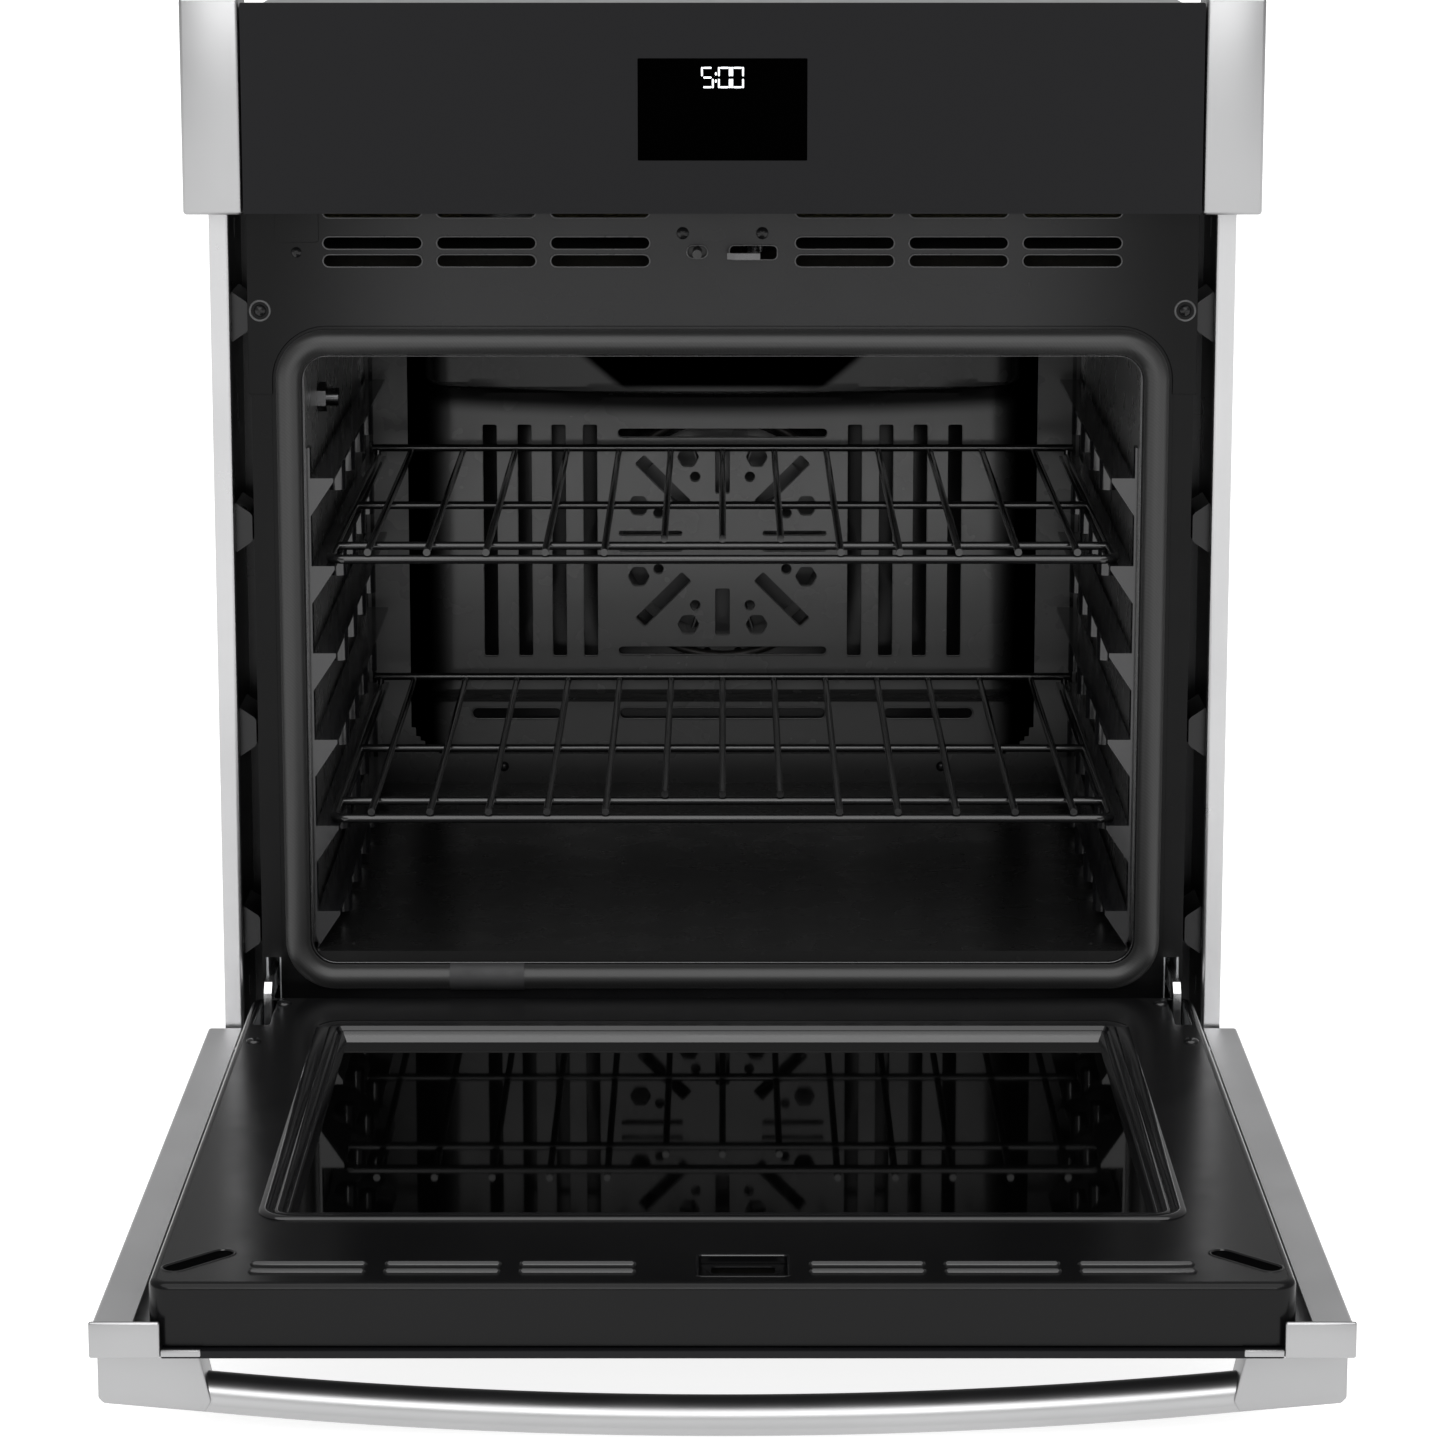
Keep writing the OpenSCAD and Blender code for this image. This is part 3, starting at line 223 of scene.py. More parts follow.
HEATER = varied("heating_rod", (0.045, 0.042, 0.04), 0.5, 0.5, 0.3, 120, 0.1, 900, 0.0001)
MOTOR = varied("motor_metal", (0.30, 0.30, 0.31), 0.4, 0.9, 0.1, 50, 0.08)
ALU = varied("aluminium", (0.55, 0.55, 0.56), 0.33, 1.0, 0.06, 60, 0.06)
FAN = varied("fan_enamel", (0.02, 0.02, 0.021), 0.35, 0.0, 0.1, 60, 0.05)
WOOL = varied("mineral_wool", (0.60, 0.52, 0.28), 0.95, 0.0, 0.3, 220, 0.03, 500, 0.0012,
              (1, 1, 3))
# painted shade: the wool is darkened at its front edges, which show through the vent slots and the
# latch opening
_nt, _b = principled(WOOL)
shade(_nt, _b, step(_nt, along(_nt, 1), -0.13, -0.12, 0.01))
TRIM = varied("trim_steel", (0.46, 0.46, 0.465), 0.30, 1.0, 0.03, 9, 0.03, 700, 0.00002)
# painted reflection: the trims' walls behind their front flange are darkened to stand in for the
# black body they reflect
_nt, _b = principled(TRIM)
shade(_nt, _b, step(_nt, along(_nt, 1), -0.2885, -0.282, 1.0, 0.07))
# painted shade: the face plate and frame darken towards their sides, with a lower specular level
# there
_nt, _b = principled(FACE)
shade(_nt, _b, step(_nt, along(_nt, 0, True), 0.17, 0.30, 1.0, 0.25))
_nt.links.new(step(_nt, along(_nt, 0, True), 0.17, 0.30, 0.28, 0.12),
              _b.inputs["Specular IOR Level"])


def speckled(name, base, fleck, rough):
    """Glass enamel with fine pale flecks."""
    m, nt, b = material(name, (base, base, base * 1.02), rough)
    vec = coords(nt)
    v = nt.nodes.new("ShaderNodeTexVoronoi")
    v.inputs["Scale"].default_value = 420
    nt.links.new(vec, v.inputs["Vector"])
    nt.links.new(ramp(nt, v.outputs["Distance"], [(0.06, fleck), (0.10, base)]),
                 b.inputs["Base Color"])
    nt.links.new(ramp(nt, noise(nt, vec, 30), [(0.3, rough - 0.03), (0.7, rough + 0.03)]),
                 b.inputs["Roughness"])
    bump(nt, b, noise(nt, vec, 500), 0.15, 0.00001)
    b.inputs["Specular IOR Level"].default_value = 0.4
    return m


def cavity_enamel():
    """Painted shade: the walls fall off to a darker floor with a lower specular level there; a
    dark seam runs near each side of the back.
    """
    m = speckled("cavity_enamel", 0.11, 0.15, 0.28)
    nt, b = principled(m)
    x, z = along(nt, 0, True), along(nt, 2)
    seam = worked(nt, "MULTIPLY", step(nt, x, 0.2638, 0.2644),
                  step(nt, x, 0.2668, 0.2674, 1.0, 0.0))
    seam = worked(nt, "MULTIPLY", seam, step(nt, along(nt, 1), 0.19, 0.195))
    shade(nt, b, worked(nt, "SUBTRACT", step(nt, z, 0.13, 0.20, 0.06, 1.0), seam))
    nt.links.new(step(nt, z, 0.13, 0.16, 0.22, 0.4), b.inputs["Specular IOR Level"])
    return m


def guard_enamel():
    """Painted shade: black towards its sloped sides, a painted shadow band under the hood's edge,
    a black patch at the hood's front centre, the hood's top at half brightness and darker towards
    the foot of its face; the specular level is lowered where it is painted black.
    """
    m = speckled("guard_enamel", 0.15, 0.19, 0.26)
    nt, b = principled(m)
    x, z = along(nt, 0, True), along(nt, 2)
    side_shade = step(nt, x, 0.196, 0.222, 1.0, 0.0)
    low = step(nt, z, 0.193, 0.37, 0.4, 1.0)
    edge = worked(nt, "SUBTRACT", z, worked(nt, "MULTIPLY", worked(nt, "MULTIPLY", x, x), 0.144))
    under_hood_shadow = step(nt, edge, 0.415, 0.429, 1.0, 0.06)
    over = step(nt, edge, 0.4385, 0.4415, 0.0, 0.5)
    band = worked(nt, "MAXIMUM", under_hood_shadow, over)
    front = worked(nt, "ADD", x, worked(nt, "MULTIPLY", z, -1.2))
    front = worked(nt, "ADD", step(nt, front, -0.466, -0.456),
                   step(nt, z, 0.444, 0.449, 1.0, 0.0))
    front = worked(nt, "MINIMUM", front, 1.0)
    for f in (side_shade, low, band, front):
        shade(nt, b, f)
    gloss = worked(nt, "MINIMUM", worked(nt, "MULTIPLY", front, band), side_shade)
    nt.links.new(worked(nt, "MULTIPLY", gloss, 0.4), b.inputs["Specular IOR Level"])
    return m


def seal_cloth():
    """Glass-fibre braid pressed smooth."""
    m, nt, b = material("seal_braid", (0.018, 0.018, 0.019), 0.42)
    vec = coords(nt)
    w = nt.nodes.new("ShaderNodeTexWave")
    w.wave_type = "BANDS"
    w.bands_direction = "DIAGONAL"
    w.inputs["Scale"].default_value = 260
    w.inputs["Distortion"].default_value = 1.5
    nt.links.new(vec, w.inputs["Vector"])
    nt.links.new(ramp(nt, w.outputs["Fac"], [(0.2, 0.012), (0.8, 0.018)]), b.inputs["Base Color"])
    bump(nt, b, w.outputs["Fac"], 0.25, 0.00008)
    b.inputs["Sheen Weight"].default_value = 0.05
    return m


CAVITY = cavity_enamel()
GUARD = guard_enamel()
SEAL = seal_cloth()
SLEEVE = varied("seal_sleeve", (0.024, 0.024, 0.025), 0.65, 0.0, 0.1, 60, 0.05, 1500, 0.00003)
LENS, _nt, _b = material("lamp_glass", (0.8, 0.85, 0.85), 0.15)
_b.inputs["Transmission Weight"].default_value = 0.7
bump(_nt, _b, noise(_nt, coords(_nt), 120), 0.4, 0.0005)
SCREEN = varied("display_black", (0.0003, 0.0003, 0.0003), 0.25, 0.0, 0.02, 5, 0.01, 300,
                0.000001, Specular_IOR_Level=0.0)
DIGIT, _nt, _b = material("display_digit", (0.9, 0.92, 0.95), 0.4)
_b.inputs["Emission Color"].default_value = (0.93, 0.96, 1, 1)
_b.inputs["Emission Strength"].default_value = 1.1

NODE_LOOK = {
    "satin": (STEEL, ["control_cap_left", "control_cap_right", "handle_brackets", "handle_bar"]),
    "rail": (RAIL, ["door_rail_left", "door_rail_right"]),
    "trim": (TRIM, ["side_trim_left", "side_trim_right"]),
    "zinc": (ZINC, ["base_pan", "side_panel_left", "side_panel_right", "top_panel", "rear_panel",
                    "lamp_housing", "blower_housing", "terminal_box", "conduit_fitting",
                    "hinge_receivers", "hinge_bodies"]),
    "enamel": (ENAMEL, ["bottom_trim"]),
    "face": (FACE, ["face_frame", "upper_face_plate"]),
    "cavity": (CAVITY, ["cavity_shell", "cavity_back"]),
    "guard": (GUARD, ["fan_cover"]),
    "dark_steel": (DARK_STEEL, ["probe_jack", "latch_hook"]),
    "bright": (BRIGHT, ["temperature_sensor", "hinge_arm_left", "hinge_arm_right",
                        "hinge_springs"]),
    "screws": (ENAMEL, ["chassis_screws"]),
    "liner": (LINER, ["door_liner", "door_window_frame"]),
    "glass": (BLACK_GLASS, ["control_glass", "door_outer_glass"]),
    "door_glass": (DOOR_GLASS, ["door_middle_glass", "door_inner_glass"]),
    "lens": (LENS, ["lamp_lens", "lamp_bulb"]),
    "support": (SUPPORT, ["rack_support_left", "rack_support_right"]),
    "rack": (RACK, ["rack_upper", "rack_lower"]),
    "seal": (SEAL, ["door_seal"]),
    "plastic": (PLASTIC, ["door_switch", "control_housing", "display_module", "switch_plunger"]),
    "board": (BOARD, ["power_board"]),
    "heater": (HEATER, ["bake_element", "broil_element", "convection_element"]),
    "motor": (MOTOR, ["convection_motor", "blower_motor", "latch_motor"]),
    "alu": (ALU, ["blower_wheel"]),
    "fan": (FAN, ["convection_fan"]),
    "wool": (WOOL, ["insulation_wrap", "door_insulation"]),
}
for look, names in NODE_LOOK.values():
    for n in names:
        NODES[n].data.materials.clear()
        NODES[n].data.materials.append(look)


# ---- mesh helpers ----

def piece(name, verts, faces, mat, body, to=fixed, smooth=35, slot=None):
    me = bpy.data.meshes.new(name)
    me.from_pydata([to(*v) for v in verts], [], faces)
    bm = bmesh.new()
    bm.from_mesh(me)
    bmesh.ops.remove_doubles(bm, verts=bm.verts, dist=1e-6)
    bmesh.ops.recalc_face_normals(bm, faces=bm.faces)
    bm.to_mesh(me)
    bm.free()
    me.materials.append(mat)
    if smooth:
        me.shade_smooth()
        me.set_sharp_from_angle(angle=math.radians(smooth))
    o = bpy.data.objects.new(name, me)
    bpy.context.scene.collection.objects.link(o)
    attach(o, body)
    return o


def rounded(x0, x1, z0, z1, r, n=8):
    """Outline of a rectangle with round corners, anticlockwise."""
    pts = []
    for cx, cz, a0 in ((x1 - r, z0 + r, -90), (x1 - r, z1 - r, 0), (x0 + r, z1 - r, 90),
                       (x0 + r, z0 + r, 180)):
        for i in range(n + 1):
            a = math.radians(a0 + 90 * i / n)
            pts.append((cx + r * math.cos(a), cz + r * math.sin(a)))
    return pts


def slot_outline(x, z, length, height, turn=0.0, n=8):
    r = height / 2
    c, s = math.cos(math.radians(turn)), math.sin(math.radians(turn))
    pts = []
    for side, a0 in ((1, -90), (-1, 90)):
        for i in range(n + 1):
            a = math.radians(a0 + 180 * i / n)
            u, v = side * (length / 2 - r) + r * math.cos(a), r * math.sin(a)
            pts.append((x + u * c - v * s, z + u * s + v * c))
    return pts


def normals(path, closed):
    """Outward directions along an anticlockwise path, scaled so that offsets stay even."""
    out = []
    n = len(path)
    for i in range(n):
        a = path[i - 1] if closed or i else path[i]
        b = path[i]
        c = path[(i + 1) % n] if closed or i < n - 1 else path[i]
        d1 = Vector((b[0] - a[0], b[1] - a[1]))
        d2 = Vector((c[0] - b[0], c[1] - b[1]))
        d1 = d1.normalized() if d1.length > 1e-9 else d2.normalized()
        d2 = d2.normalized() if d2.length > 1e-9 else d1
        m = (d1 + d2).normalized()
        k = 1 / max(0.35, m.dot(d1))
        out.append((m.y * k, -m.x * k))
    return out


def sweep(path, section, closed=True, loop=True):
    """Carries a section of (outward, q) points along a path of (x, z) points."""
    nv = normals(path, closed)
    verts = [(p[0] + n[0] * o, q, p[1] + n[1] * o) for p, n in zip(path, nv)
             for o, q in section]
    k = len(section)
    faces = []
    for i in range(len(path) if closed else len(path) - 1):
        j = (i + 1) % len(path)
        for a in range(k if loop else k - 1):
            b = (a + 1) % k
            faces.append((i * k + a, i * k + b, j * k + b, j * k + a))
    if not closed and loop:
        faces.append(tuple(range(k)))
        faces.append(tuple((len(path) - 1) * k + a for a in range(k)))
    return verts, faces


def circle(r, n=10, out=0.0, q=0.0, squash=1.0):
    """A round section for sweep(), flattened in depth by squash."""
    return [(out + r * math.cos(2 * math.pi * i / n),
             q + squash * r * math.sin(2 * math.pi * i / n)) for i in range(n)]


def joined(*parts):
    verts, faces = [], []
    for v, f in parts:
        base = len(verts)
        verts += v
        faces += [tuple(i + base for i in t) for t in f]
    return verts, faces


def filled(outer, holes, q0, q1, edge):
    """A flat plate between two depths with holes and softly rounded edges, as (verts, faces)."""
    cu = bpy.data.curves.new("outline", "CURVE")
    cu.dimensions = "2D"
    cu.fill_mode = "BOTH"
    cu.extrude = (q1 - q0) / 2 - edge
    cu.bevel_depth = edge
    cu.bevel_resolution = 1
    cu.offset = -edge
    for loop in [outer, *holes]:
        sp = cu.splines.new("POLY")
        sp.points.add(len(loop) - 1)
        for p, (x, z) in zip(sp.points, loop):
            p.co = (x, z, 0, 1)
        sp.use_cyclic_u = True
    ob = bpy.data.objects.new("outline", cu)
    bpy.context.scene.collection.objects.link(ob)
    bpy.context.view_layer.update()
    me = bpy.data.meshes.new_from_object(ob.evaluated_get(bpy.context.evaluated_depsgraph_get()))
    mid = (q0 + q1) / 2
    verts = [(v.co.x, mid - v.co.z, v.co.y) for v in me.vertices]
    faces = [tuple(p.vertices) for p in me.polygons]
    bpy.data.objects.remove(ob)
    bpy.data.curves.remove(cu)
    bpy.data.meshes.remove(me)
    return verts, faces


def box(x, q, z):
    v = [(a, b, c) for a in x for b in q for c in z]
    f = [(0, 1, 3, 2), (4, 6, 7, 5), (0, 4, 5, 1), (2, 3, 7, 6), (0, 2, 6, 4), (1, 5, 7, 3)]
    return v, f


def softened(obj, width, segments=3, limit=40):
    """Rounds the piece's edges in its own mesh."""
    bm = bmesh.new()
    bm.from_mesh(obj.data)
    edges = [e for e in bm.edges if len(e.link_faces) == 2
             and e.calc_face_angle(0) > math.radians(limit)]
    bmesh.ops.bevel(bm, geom=edges, offset=width / 1000, segments=segments, profile=0.5,
                    affect="EDGES", clamp_overlap=True)
    bm.to_mesh(obj.data)
    bm.free()
    obj.data.shade_smooth()
    obj.data.set_sharp_from_angle(angle=math.radians(30))
    return obj


def mirrored(points, side):
    """The (x, q, z) points, flipped to the left where side is -1."""
    return [(side * x, q, z) for x, q, z in points]


def prism(outline, z0, z1):
    """Extrudes an outline of (x, q) points between two heights."""
    n = len(outline)
    v = [(a, b, z0) for a, b in outline] + [(a, b, z1) for a, b in outline]
    f = [tuple(range(n)), tuple(range(n, 2 * n))]
    f += [(i, (i + 1) % n, n + (i + 1) % n, n + i) for i in range(n)]
    return v, f


# ---- control panel ----
for side, node in ((1, "control_cap_right"), (-1, "control_cap_left")):
    v, f = box((CAP_X, OVERALL_X), (0, CAP_DEPTH), (CAP_LOW, CAP_TOP))
    cap = piece("panel_" + node, mirrored(v, side), f, STEEL, "chassis",
                slot="stainless_steel")
    softened(cap, 2.2, 4)
    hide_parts(node)

piece("display_window", *filled(rounded(-SCREEN_X, SCREEN_X, SCREEN_LOW, SCREEN_TOP, 0.6, 2),
                                [], -0.1, 0.0, 0.03), SCREEN, "chassis", slot="black_glass")


def figure(x, z, w, h, which, t=1.1, gap=0.25):
    """Seven-segment figure with its lower left corner at x, z, as round-ended bars."""
    half = h / 2
    across = w - 2 * t - 2 * gap
    up = half - t / 2 - gap
    bars = {"a": (x + w / 2, z + h - t / 2, across, 0), "g": (x + w / 2, z + half, across, 0),
            "d": (x + w / 2, z + t / 2, across, 0),
            "f": (x + t / 2, z + h - up / 2, up, 90),
            "b": (x + w - t / 2, z + h - up / 2, up, 90),
            "e": (x + t / 2, z + up / 2, up, 90),
            "c": (x + w - t / 2, z + up / 2, up, 90)}
    return [filled(slot_outline(bx, bz, length, t, turn, 4), [], -0.22, -0.1, 0.03)
            for k, (bx, bz, length, turn) in bars.items() if k in which]


FIGURE_Z, FIGURE_W, FIGURE_H = 701.4, 7.9, 13.2
figures = figure(-13.4, FIGURE_Z, FIGURE_W, FIGURE_H, "afgcd")
for x in (-2.8, 5.5):
    figures += figure(x, FIGURE_Z, FIGURE_W, FIGURE_H, "abcdef")
figures += [filled(slot_outline(-4.15, z, 2.0, 1.1, 90, 4), [], -0.22, -0.1, 0.03)
            for z in (705.8, 710.3)]
piece("display_figures", *joined(*figures), DIGIT, "chassis", smooth=0, slot="black_glass")

# ---- upper face plate ----
arc_r = [(-290 + 35 - 35 * math.cos(math.radians(a)), 509.7 + 35 * math.sin(math.radians(a)))
         for a in range(0, 91, 9)]
plate = [(-305.5, 735), (-305.5, 500.7), (-290, 500.7)] + arc_r + \
    [(-x, z) for x, z in reversed(arc_r)] + [(290, 500.7), (305.5, 500.7), (305.5, 735)]
vents = [(s * (VENT_X + VENT_PITCH * i), z) for z in (587.2, 598.7, 618.8) for i in range(3)
         for s in (-1, 1)]
holes = [slot_outline(x, z, VENT_L, 7.7) for x, z in vents]
holes += [rounded(4.5, 35, 588, 597, 3, 4), slot_outline(-16.2, 593, 13, 8)]
face = joined(filled(plate, holes, 48.8, FACE_Q, 0.5),
              filled(rounded(-286.9, -258.9, 599, 622.5, 2, 4), [], 48.0, 48.9, 0.4))
face = piece("upper_face", *face, FACE, "chassis", smooth=12, slot="black_enamel")
# rims round the face plate's holes and two rings at its sides, in the lighter rim colour: painted
# highlight
face_rims = [sweep(o, circle(0.5, 8, 0.2, 48.7)) for o in holes]
face_rims += [sweep([(sx * 297.4 + 6.4 * math.cos(a * math.pi / 16),
                      555 + 6.4 * math.sin(a * math.pi / 16)) for a in range(32)],
                    circle(0.8, 8, 0, 48.8)) for sx in (-1, 1)]
piece("upper_face_rims", *joined(*face_rims), RIM_PAINTED_HIGHLIGHT, "chassis", smooth=60, slot="black_enamel")
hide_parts("upper_face_plate")

# ---- door seal: a rope section with a sleeve over its joint ----

def seal_section(wide, deep):
    """The part of a rope's round that stands out of its groove."""
    return [(wide * math.sin(math.radians(a)), FACE_Q - 1.6 - deep * math.cos(math.radians(a)))
            for a in range(-100, 101, 10)]


seal_path = rounded(-SEAL_X, SEAL_X, SEAL_LOW, SEAL_TOP, SEAL_CORNER, 14)
half = seal_section(SEAL_R, SEAL_R)
seal = piece("seal_rope", *sweep(seal_path, half), SEAL, "chassis", slot="seal_fabric")
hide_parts("door_seal")
sleeve_path = [(-179.9 + i * 49.2 / 6, SEAL_LOW) for i in range(7)]
sleeve = seal_section(9.0, 8.2)
piece("seal_sleeve", *sweep(sleeve_path, sleeve, closed=False), SLEEVE, "chassis",
      slot="seal_fabric")
piece("cavity_lip", *sweep(rounded(-270.8, 270.8, 121.5, 525.5, 16, 10), circle(0.4, 8, 0, 49.6)),
      DARK_STEEL, "chassis", smooth=60, slot="grey_enamel")

# ---- fan cover: a pressed panel with a plateau, a hood and a lower vent band ----

def smooth_step(t):
    t = min(1.0, max(0.0, t))
    return t * t * (3 - 2 * t)


CORNER_X, CORNER_Z = 208, 181.8  # centre of the cover's lower corner round


def cover_height(x, z):
    """How far the pressed cover stands forward of its back edge."""
    ax = abs(x)
    side = smooth_step((COVER_X - ax) / 34)
    plateau = 36 * side * smooth_step((z - 193) / 18)
    edge = 440 - 6 * (1 - (min(ax, 204) / 204) ** 2)
    hood = 40 * smooth_step((232 - ax) / 22) * smooth_step((z - edge) / 10)
    # the plate's own rim with round lower corners
    cx, cz = max(0.0, ax - CORNER_X), max(0.0, CORNER_Z - z)
    rim = smooth_step((COVER_CORNER - math.hypot(cx, cz)) / 5) if cx > 0 and cz > 0 else \
        smooth_step(min(COVER_X - ax, z - COVER_LOW) / 5)
    return 4.5 * rim + plateau + hood


def fan_cover():
    """A grid over the cover's outline, pressed to cover_height()."""
    columns, rows = 136, 116
    xs = [-COVER_X + 2 * COVER_X * i / columns for i in range(columns + 1)]
    zs = [COVER_LOW + 403.2 * i / rows for i in range(rows + 1)]
    nx = len(xs)
    verts, faces = [], []
    for z in zs:
        for x in xs:
            verts.append((x, COVER_Q - cover_height(x, z), z))
    for j in range(len(zs) - 1):
        for i in range(nx - 1):
            cx, cz = abs(xs[i] + 1.75) - CORNER_X, CORNER_Z - zs[j] - 1.75
            if cx > 0 and cz > 0 and math.hypot(cx, cz) > COVER_CORNER:
                continue
            a = j * nx + i
            faces.append((a, a + 1, a + nx + 1, a + nx))
    return verts, faces


LONG = 177
face_slots = [[(s * x - 5.5, FAN_Z - LONG / 2), (s * x + 5.5, FAN_Z - LONG / 2),
               (s * x + 5.5, FAN_Z + LONG / 2), (s * x - 5.5, FAN_Z + LONG / 2)]
              for s in (-1, 1) for x in (99, 122.5, 148, 174)]


def turned(pts, a):
    c, s = math.cos(math.radians(a)), math.sin(math.radians(a))
    return [(x * c - z * s, FAN_Z + x * s + z * c) for x, z in pts]


def hexagon(x, z, r):
    return [(x + r * math.cos(math.radians(60 * i)), z + r * math.sin(math.radians(60 * i)))
            for i in range(6)]


face_slots += [slot_outline(0, FAN_Z + z, 157, 7) for z in (82, -84)]
face_slots += [slot_outline(s * 54, FAN_Z + z, 48, 4) for s in (-1, 1) for z in (-6, 6)]
face_slots += [turned([(38, -5.2), (88, -5.2), (88, 5.2), (38, 5.2)], a)
               for a in (45, 135, 225, 315)]
face_slots += [[(-5.6, FAN_Z + s * 54 - 18), (5.6, FAN_Z + s * 54 - 18),
                (5.6, FAN_Z + s * 54 + 18), (-5.6, FAN_Z + s * 54 + 18)] for s in (-1, 1)]
for sx in (-1, 1):
    for sz in (-1, 1):
        for hx, hz, r in ((25.7, 63.8, 8.6), (20.5, 48.9, 4.6), (62.9, 27, 8.6), (48, 21.3, 4.6)):
            face_slots.append(hexagon(sx * hx, FAN_Z + sz * hz, r))
low_slots = [slot_outline(s * 157, 184.6, 68, 8.5) for s in (-1, 1)] + \
    [slot_outline(0, 184.6, 157, 8.5)]


def eased(loop, r, n=4):
    """Rounds the corners of a polygon."""
    out = []
    m = len(loop)
    for i in range(m):
        a, b, c = Vector(loop[i - 1]), Vector(loop[i]), Vector(loop[(i + 1) % m])
        u, w = (a - b), (c - b)
        k = min(r, u.length * 0.45, w.length * 0.45)
        p, s = b + u.normalized() * k, b + w.normalized() * k
        for t in range(n + 1):
            f = t / n
            out.append(tuple((p * (1 - f) + b * f) * (1 - f) + (b * (1 - f) + s * f) * f))
    return out


face_slots = [eased(o, 2.0) if len(o) <= 6 else o for o in face_slots]
cover = piece("fan_guard", *fan_cover(), GUARD, "chassis", slot="grey_enamel", smooth=50)
solid = cover.modifiers.new("sheet", "SOLIDIFY")
solid.thickness = 0.0014
solid.offset = -1


def cutter(name, loops, q0, q1):
    """A solid that takes the outlines out of the cover; it is removed after use."""
    parts = []
    for loop in loops:
        n = len(loop)
        v = [(x, q0, z) for x, z in loop] + [(x, q1, z) for x, z in loop]
        f = [tuple(range(n)), tuple(range(n, 2 * n))]
        f += [(i, (i + 1) % n, n + (i + 1) % n, n + i) for i in range(n)]
        parts.append((v, f))
    return piece(name, *joined(*parts), CAVITY, "chassis", smooth=0)


cut = cutter("cut_face", face_slots, 490, 512)
cut_low = cutter("cut_low", low_slots, 520, 545)
for c in (cut, cut_low):
    bo = cover.modifiers.new("cut", "BOOLEAN")
    bo.object = c
    bo.solver = "EXACT"
bpy.context.view_layer.update()
made = bpy.data.meshes.new_from_object(
    cover.evaluated_get(bpy.context.evaluated_depsgraph_get()))
cover.modifiers.clear()
cover.data = made
made.shade_smooth()
made.set_sharp_from_angle(angle=math.radians(40))
for c in (cut, cut_low):
    bpy.data.objects.remove(c)
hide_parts("fan_cover")
rims = [sweep(o, circle(0.6, 8, 0.2, 500.0)) for o in face_slots] + \
    [sweep(o, circle(0.7, 8, 0.2, 531.3)) for o in low_slots]
piece("fan_guard_rims", *joined(*rims), GUARD, "chassis", slot="grey_enamel")
# a black sheet behind the guard, with a round opening at the fan: painted shade for what shows
# through the guard's slots
behind = filled(rounded(-196, 196, 165, 545, 20, 6),
                [[(84 * math.cos(a * math.pi / 24), FAN_Z + 84 * math.sin(a * math.pi / 24))
                  for a in range(48)]], 534.4, 535.6, 0.3)
piece("fan_back_shade_sheet", *behind, ENAMEL, "chassis", slot="black_enamel")

# ---- door liner ----
pockets = [slot_outline(s * (LINER_X - 24), LINER_TOP - 38, 46, 13, 45 * s) for s in (-1, 1)]
louvres = [slot_outline(s * (VENT_X + VENT_PITCH * i), z, VENT_L, 4.4) for z in (581.2, 593.2)
           for i in range(3) for s in (-1, 1)]
recess = rounded(-13.3, 35.5, 566, 600, 2, 4)
arms = [rounded(291.6, 301.7, 62, 121, 1, 2), rounded(-301.7, -291.6, 62, 121, 1, 2)]
bend = 4.0
outer = rounded(-LINER_X, LINER_X, LINER_LOW, LINER_TOP, 12, 10)
inner = rounded(-LINER_X + bend, LINER_X - bend, LINER_LOW + bend, LINER_TOP - bend, 8, 10)
window = rounded(-WINDOW_X, WINDOW_X, WINDOW_LOW, WINDOW_TOP, WINDOW_CORNER, 10)
wall = [(-bend + bend * math.sin(math.radians(a)),
         DOOR_T - bend + bend * math.cos(math.radians(a))) for a in range(0, 91, 9)] + [(0, 5.2)]
skin = filled(inner, [window, recess, *pockets, *louvres, *arms], DOOR_T - 1.2, DOOR_T, 0.4)
walls = sweep(outer, wall, loop=False)
rolled = [sweep(o, circle(1.0, 10, 0.5, DOOR_T - 0.4, 0.8)) for o in [recess, *pockets]]
liner = piece("door_inner_panel", *joined(skin, walls), LINER, "door", to=door, smooth=12,
              slot="black_enamel")
crown = [(0.2, DOOR_T - 0.8), (0.1, DOOR_T + 0.2), (-0.3, DOOR_T + 1.1), (-0.9, DOOR_T + 1.6),
         (-1.5, DOOR_T + 1.5), (-2.15, DOOR_T + 0.6)]
rolled += [sweep(o, crown, loop=False) for o in louvres]


def dome(x, z, r, rise, q):
    """A low button head on the door's inner face."""
    rings, n = 5, 20
    v = [(x + r * math.cos(j * math.pi / 2 / rings) * math.cos(i * 2 * math.pi / n),
          q + rise * math.sin(j * math.pi / 2 / rings),
          z + r * math.cos(j * math.pi / 2 / rings) * math.sin(i * 2 * math.pi / n))
         for j in range(rings) for i in range(n)] + [(x, q + rise, z)]
    f = [(j * n + i, j * n + (i + 1) % n, (j + 1) * n + (i + 1) % n, (j + 1) * n + i)
         for j in range(rings - 1) for i in range(n)]
    f += [((rings - 1) * n + i, (rings - 1) * n + (i + 1) % n, rings * n) for i in range(n)]
    return v, f


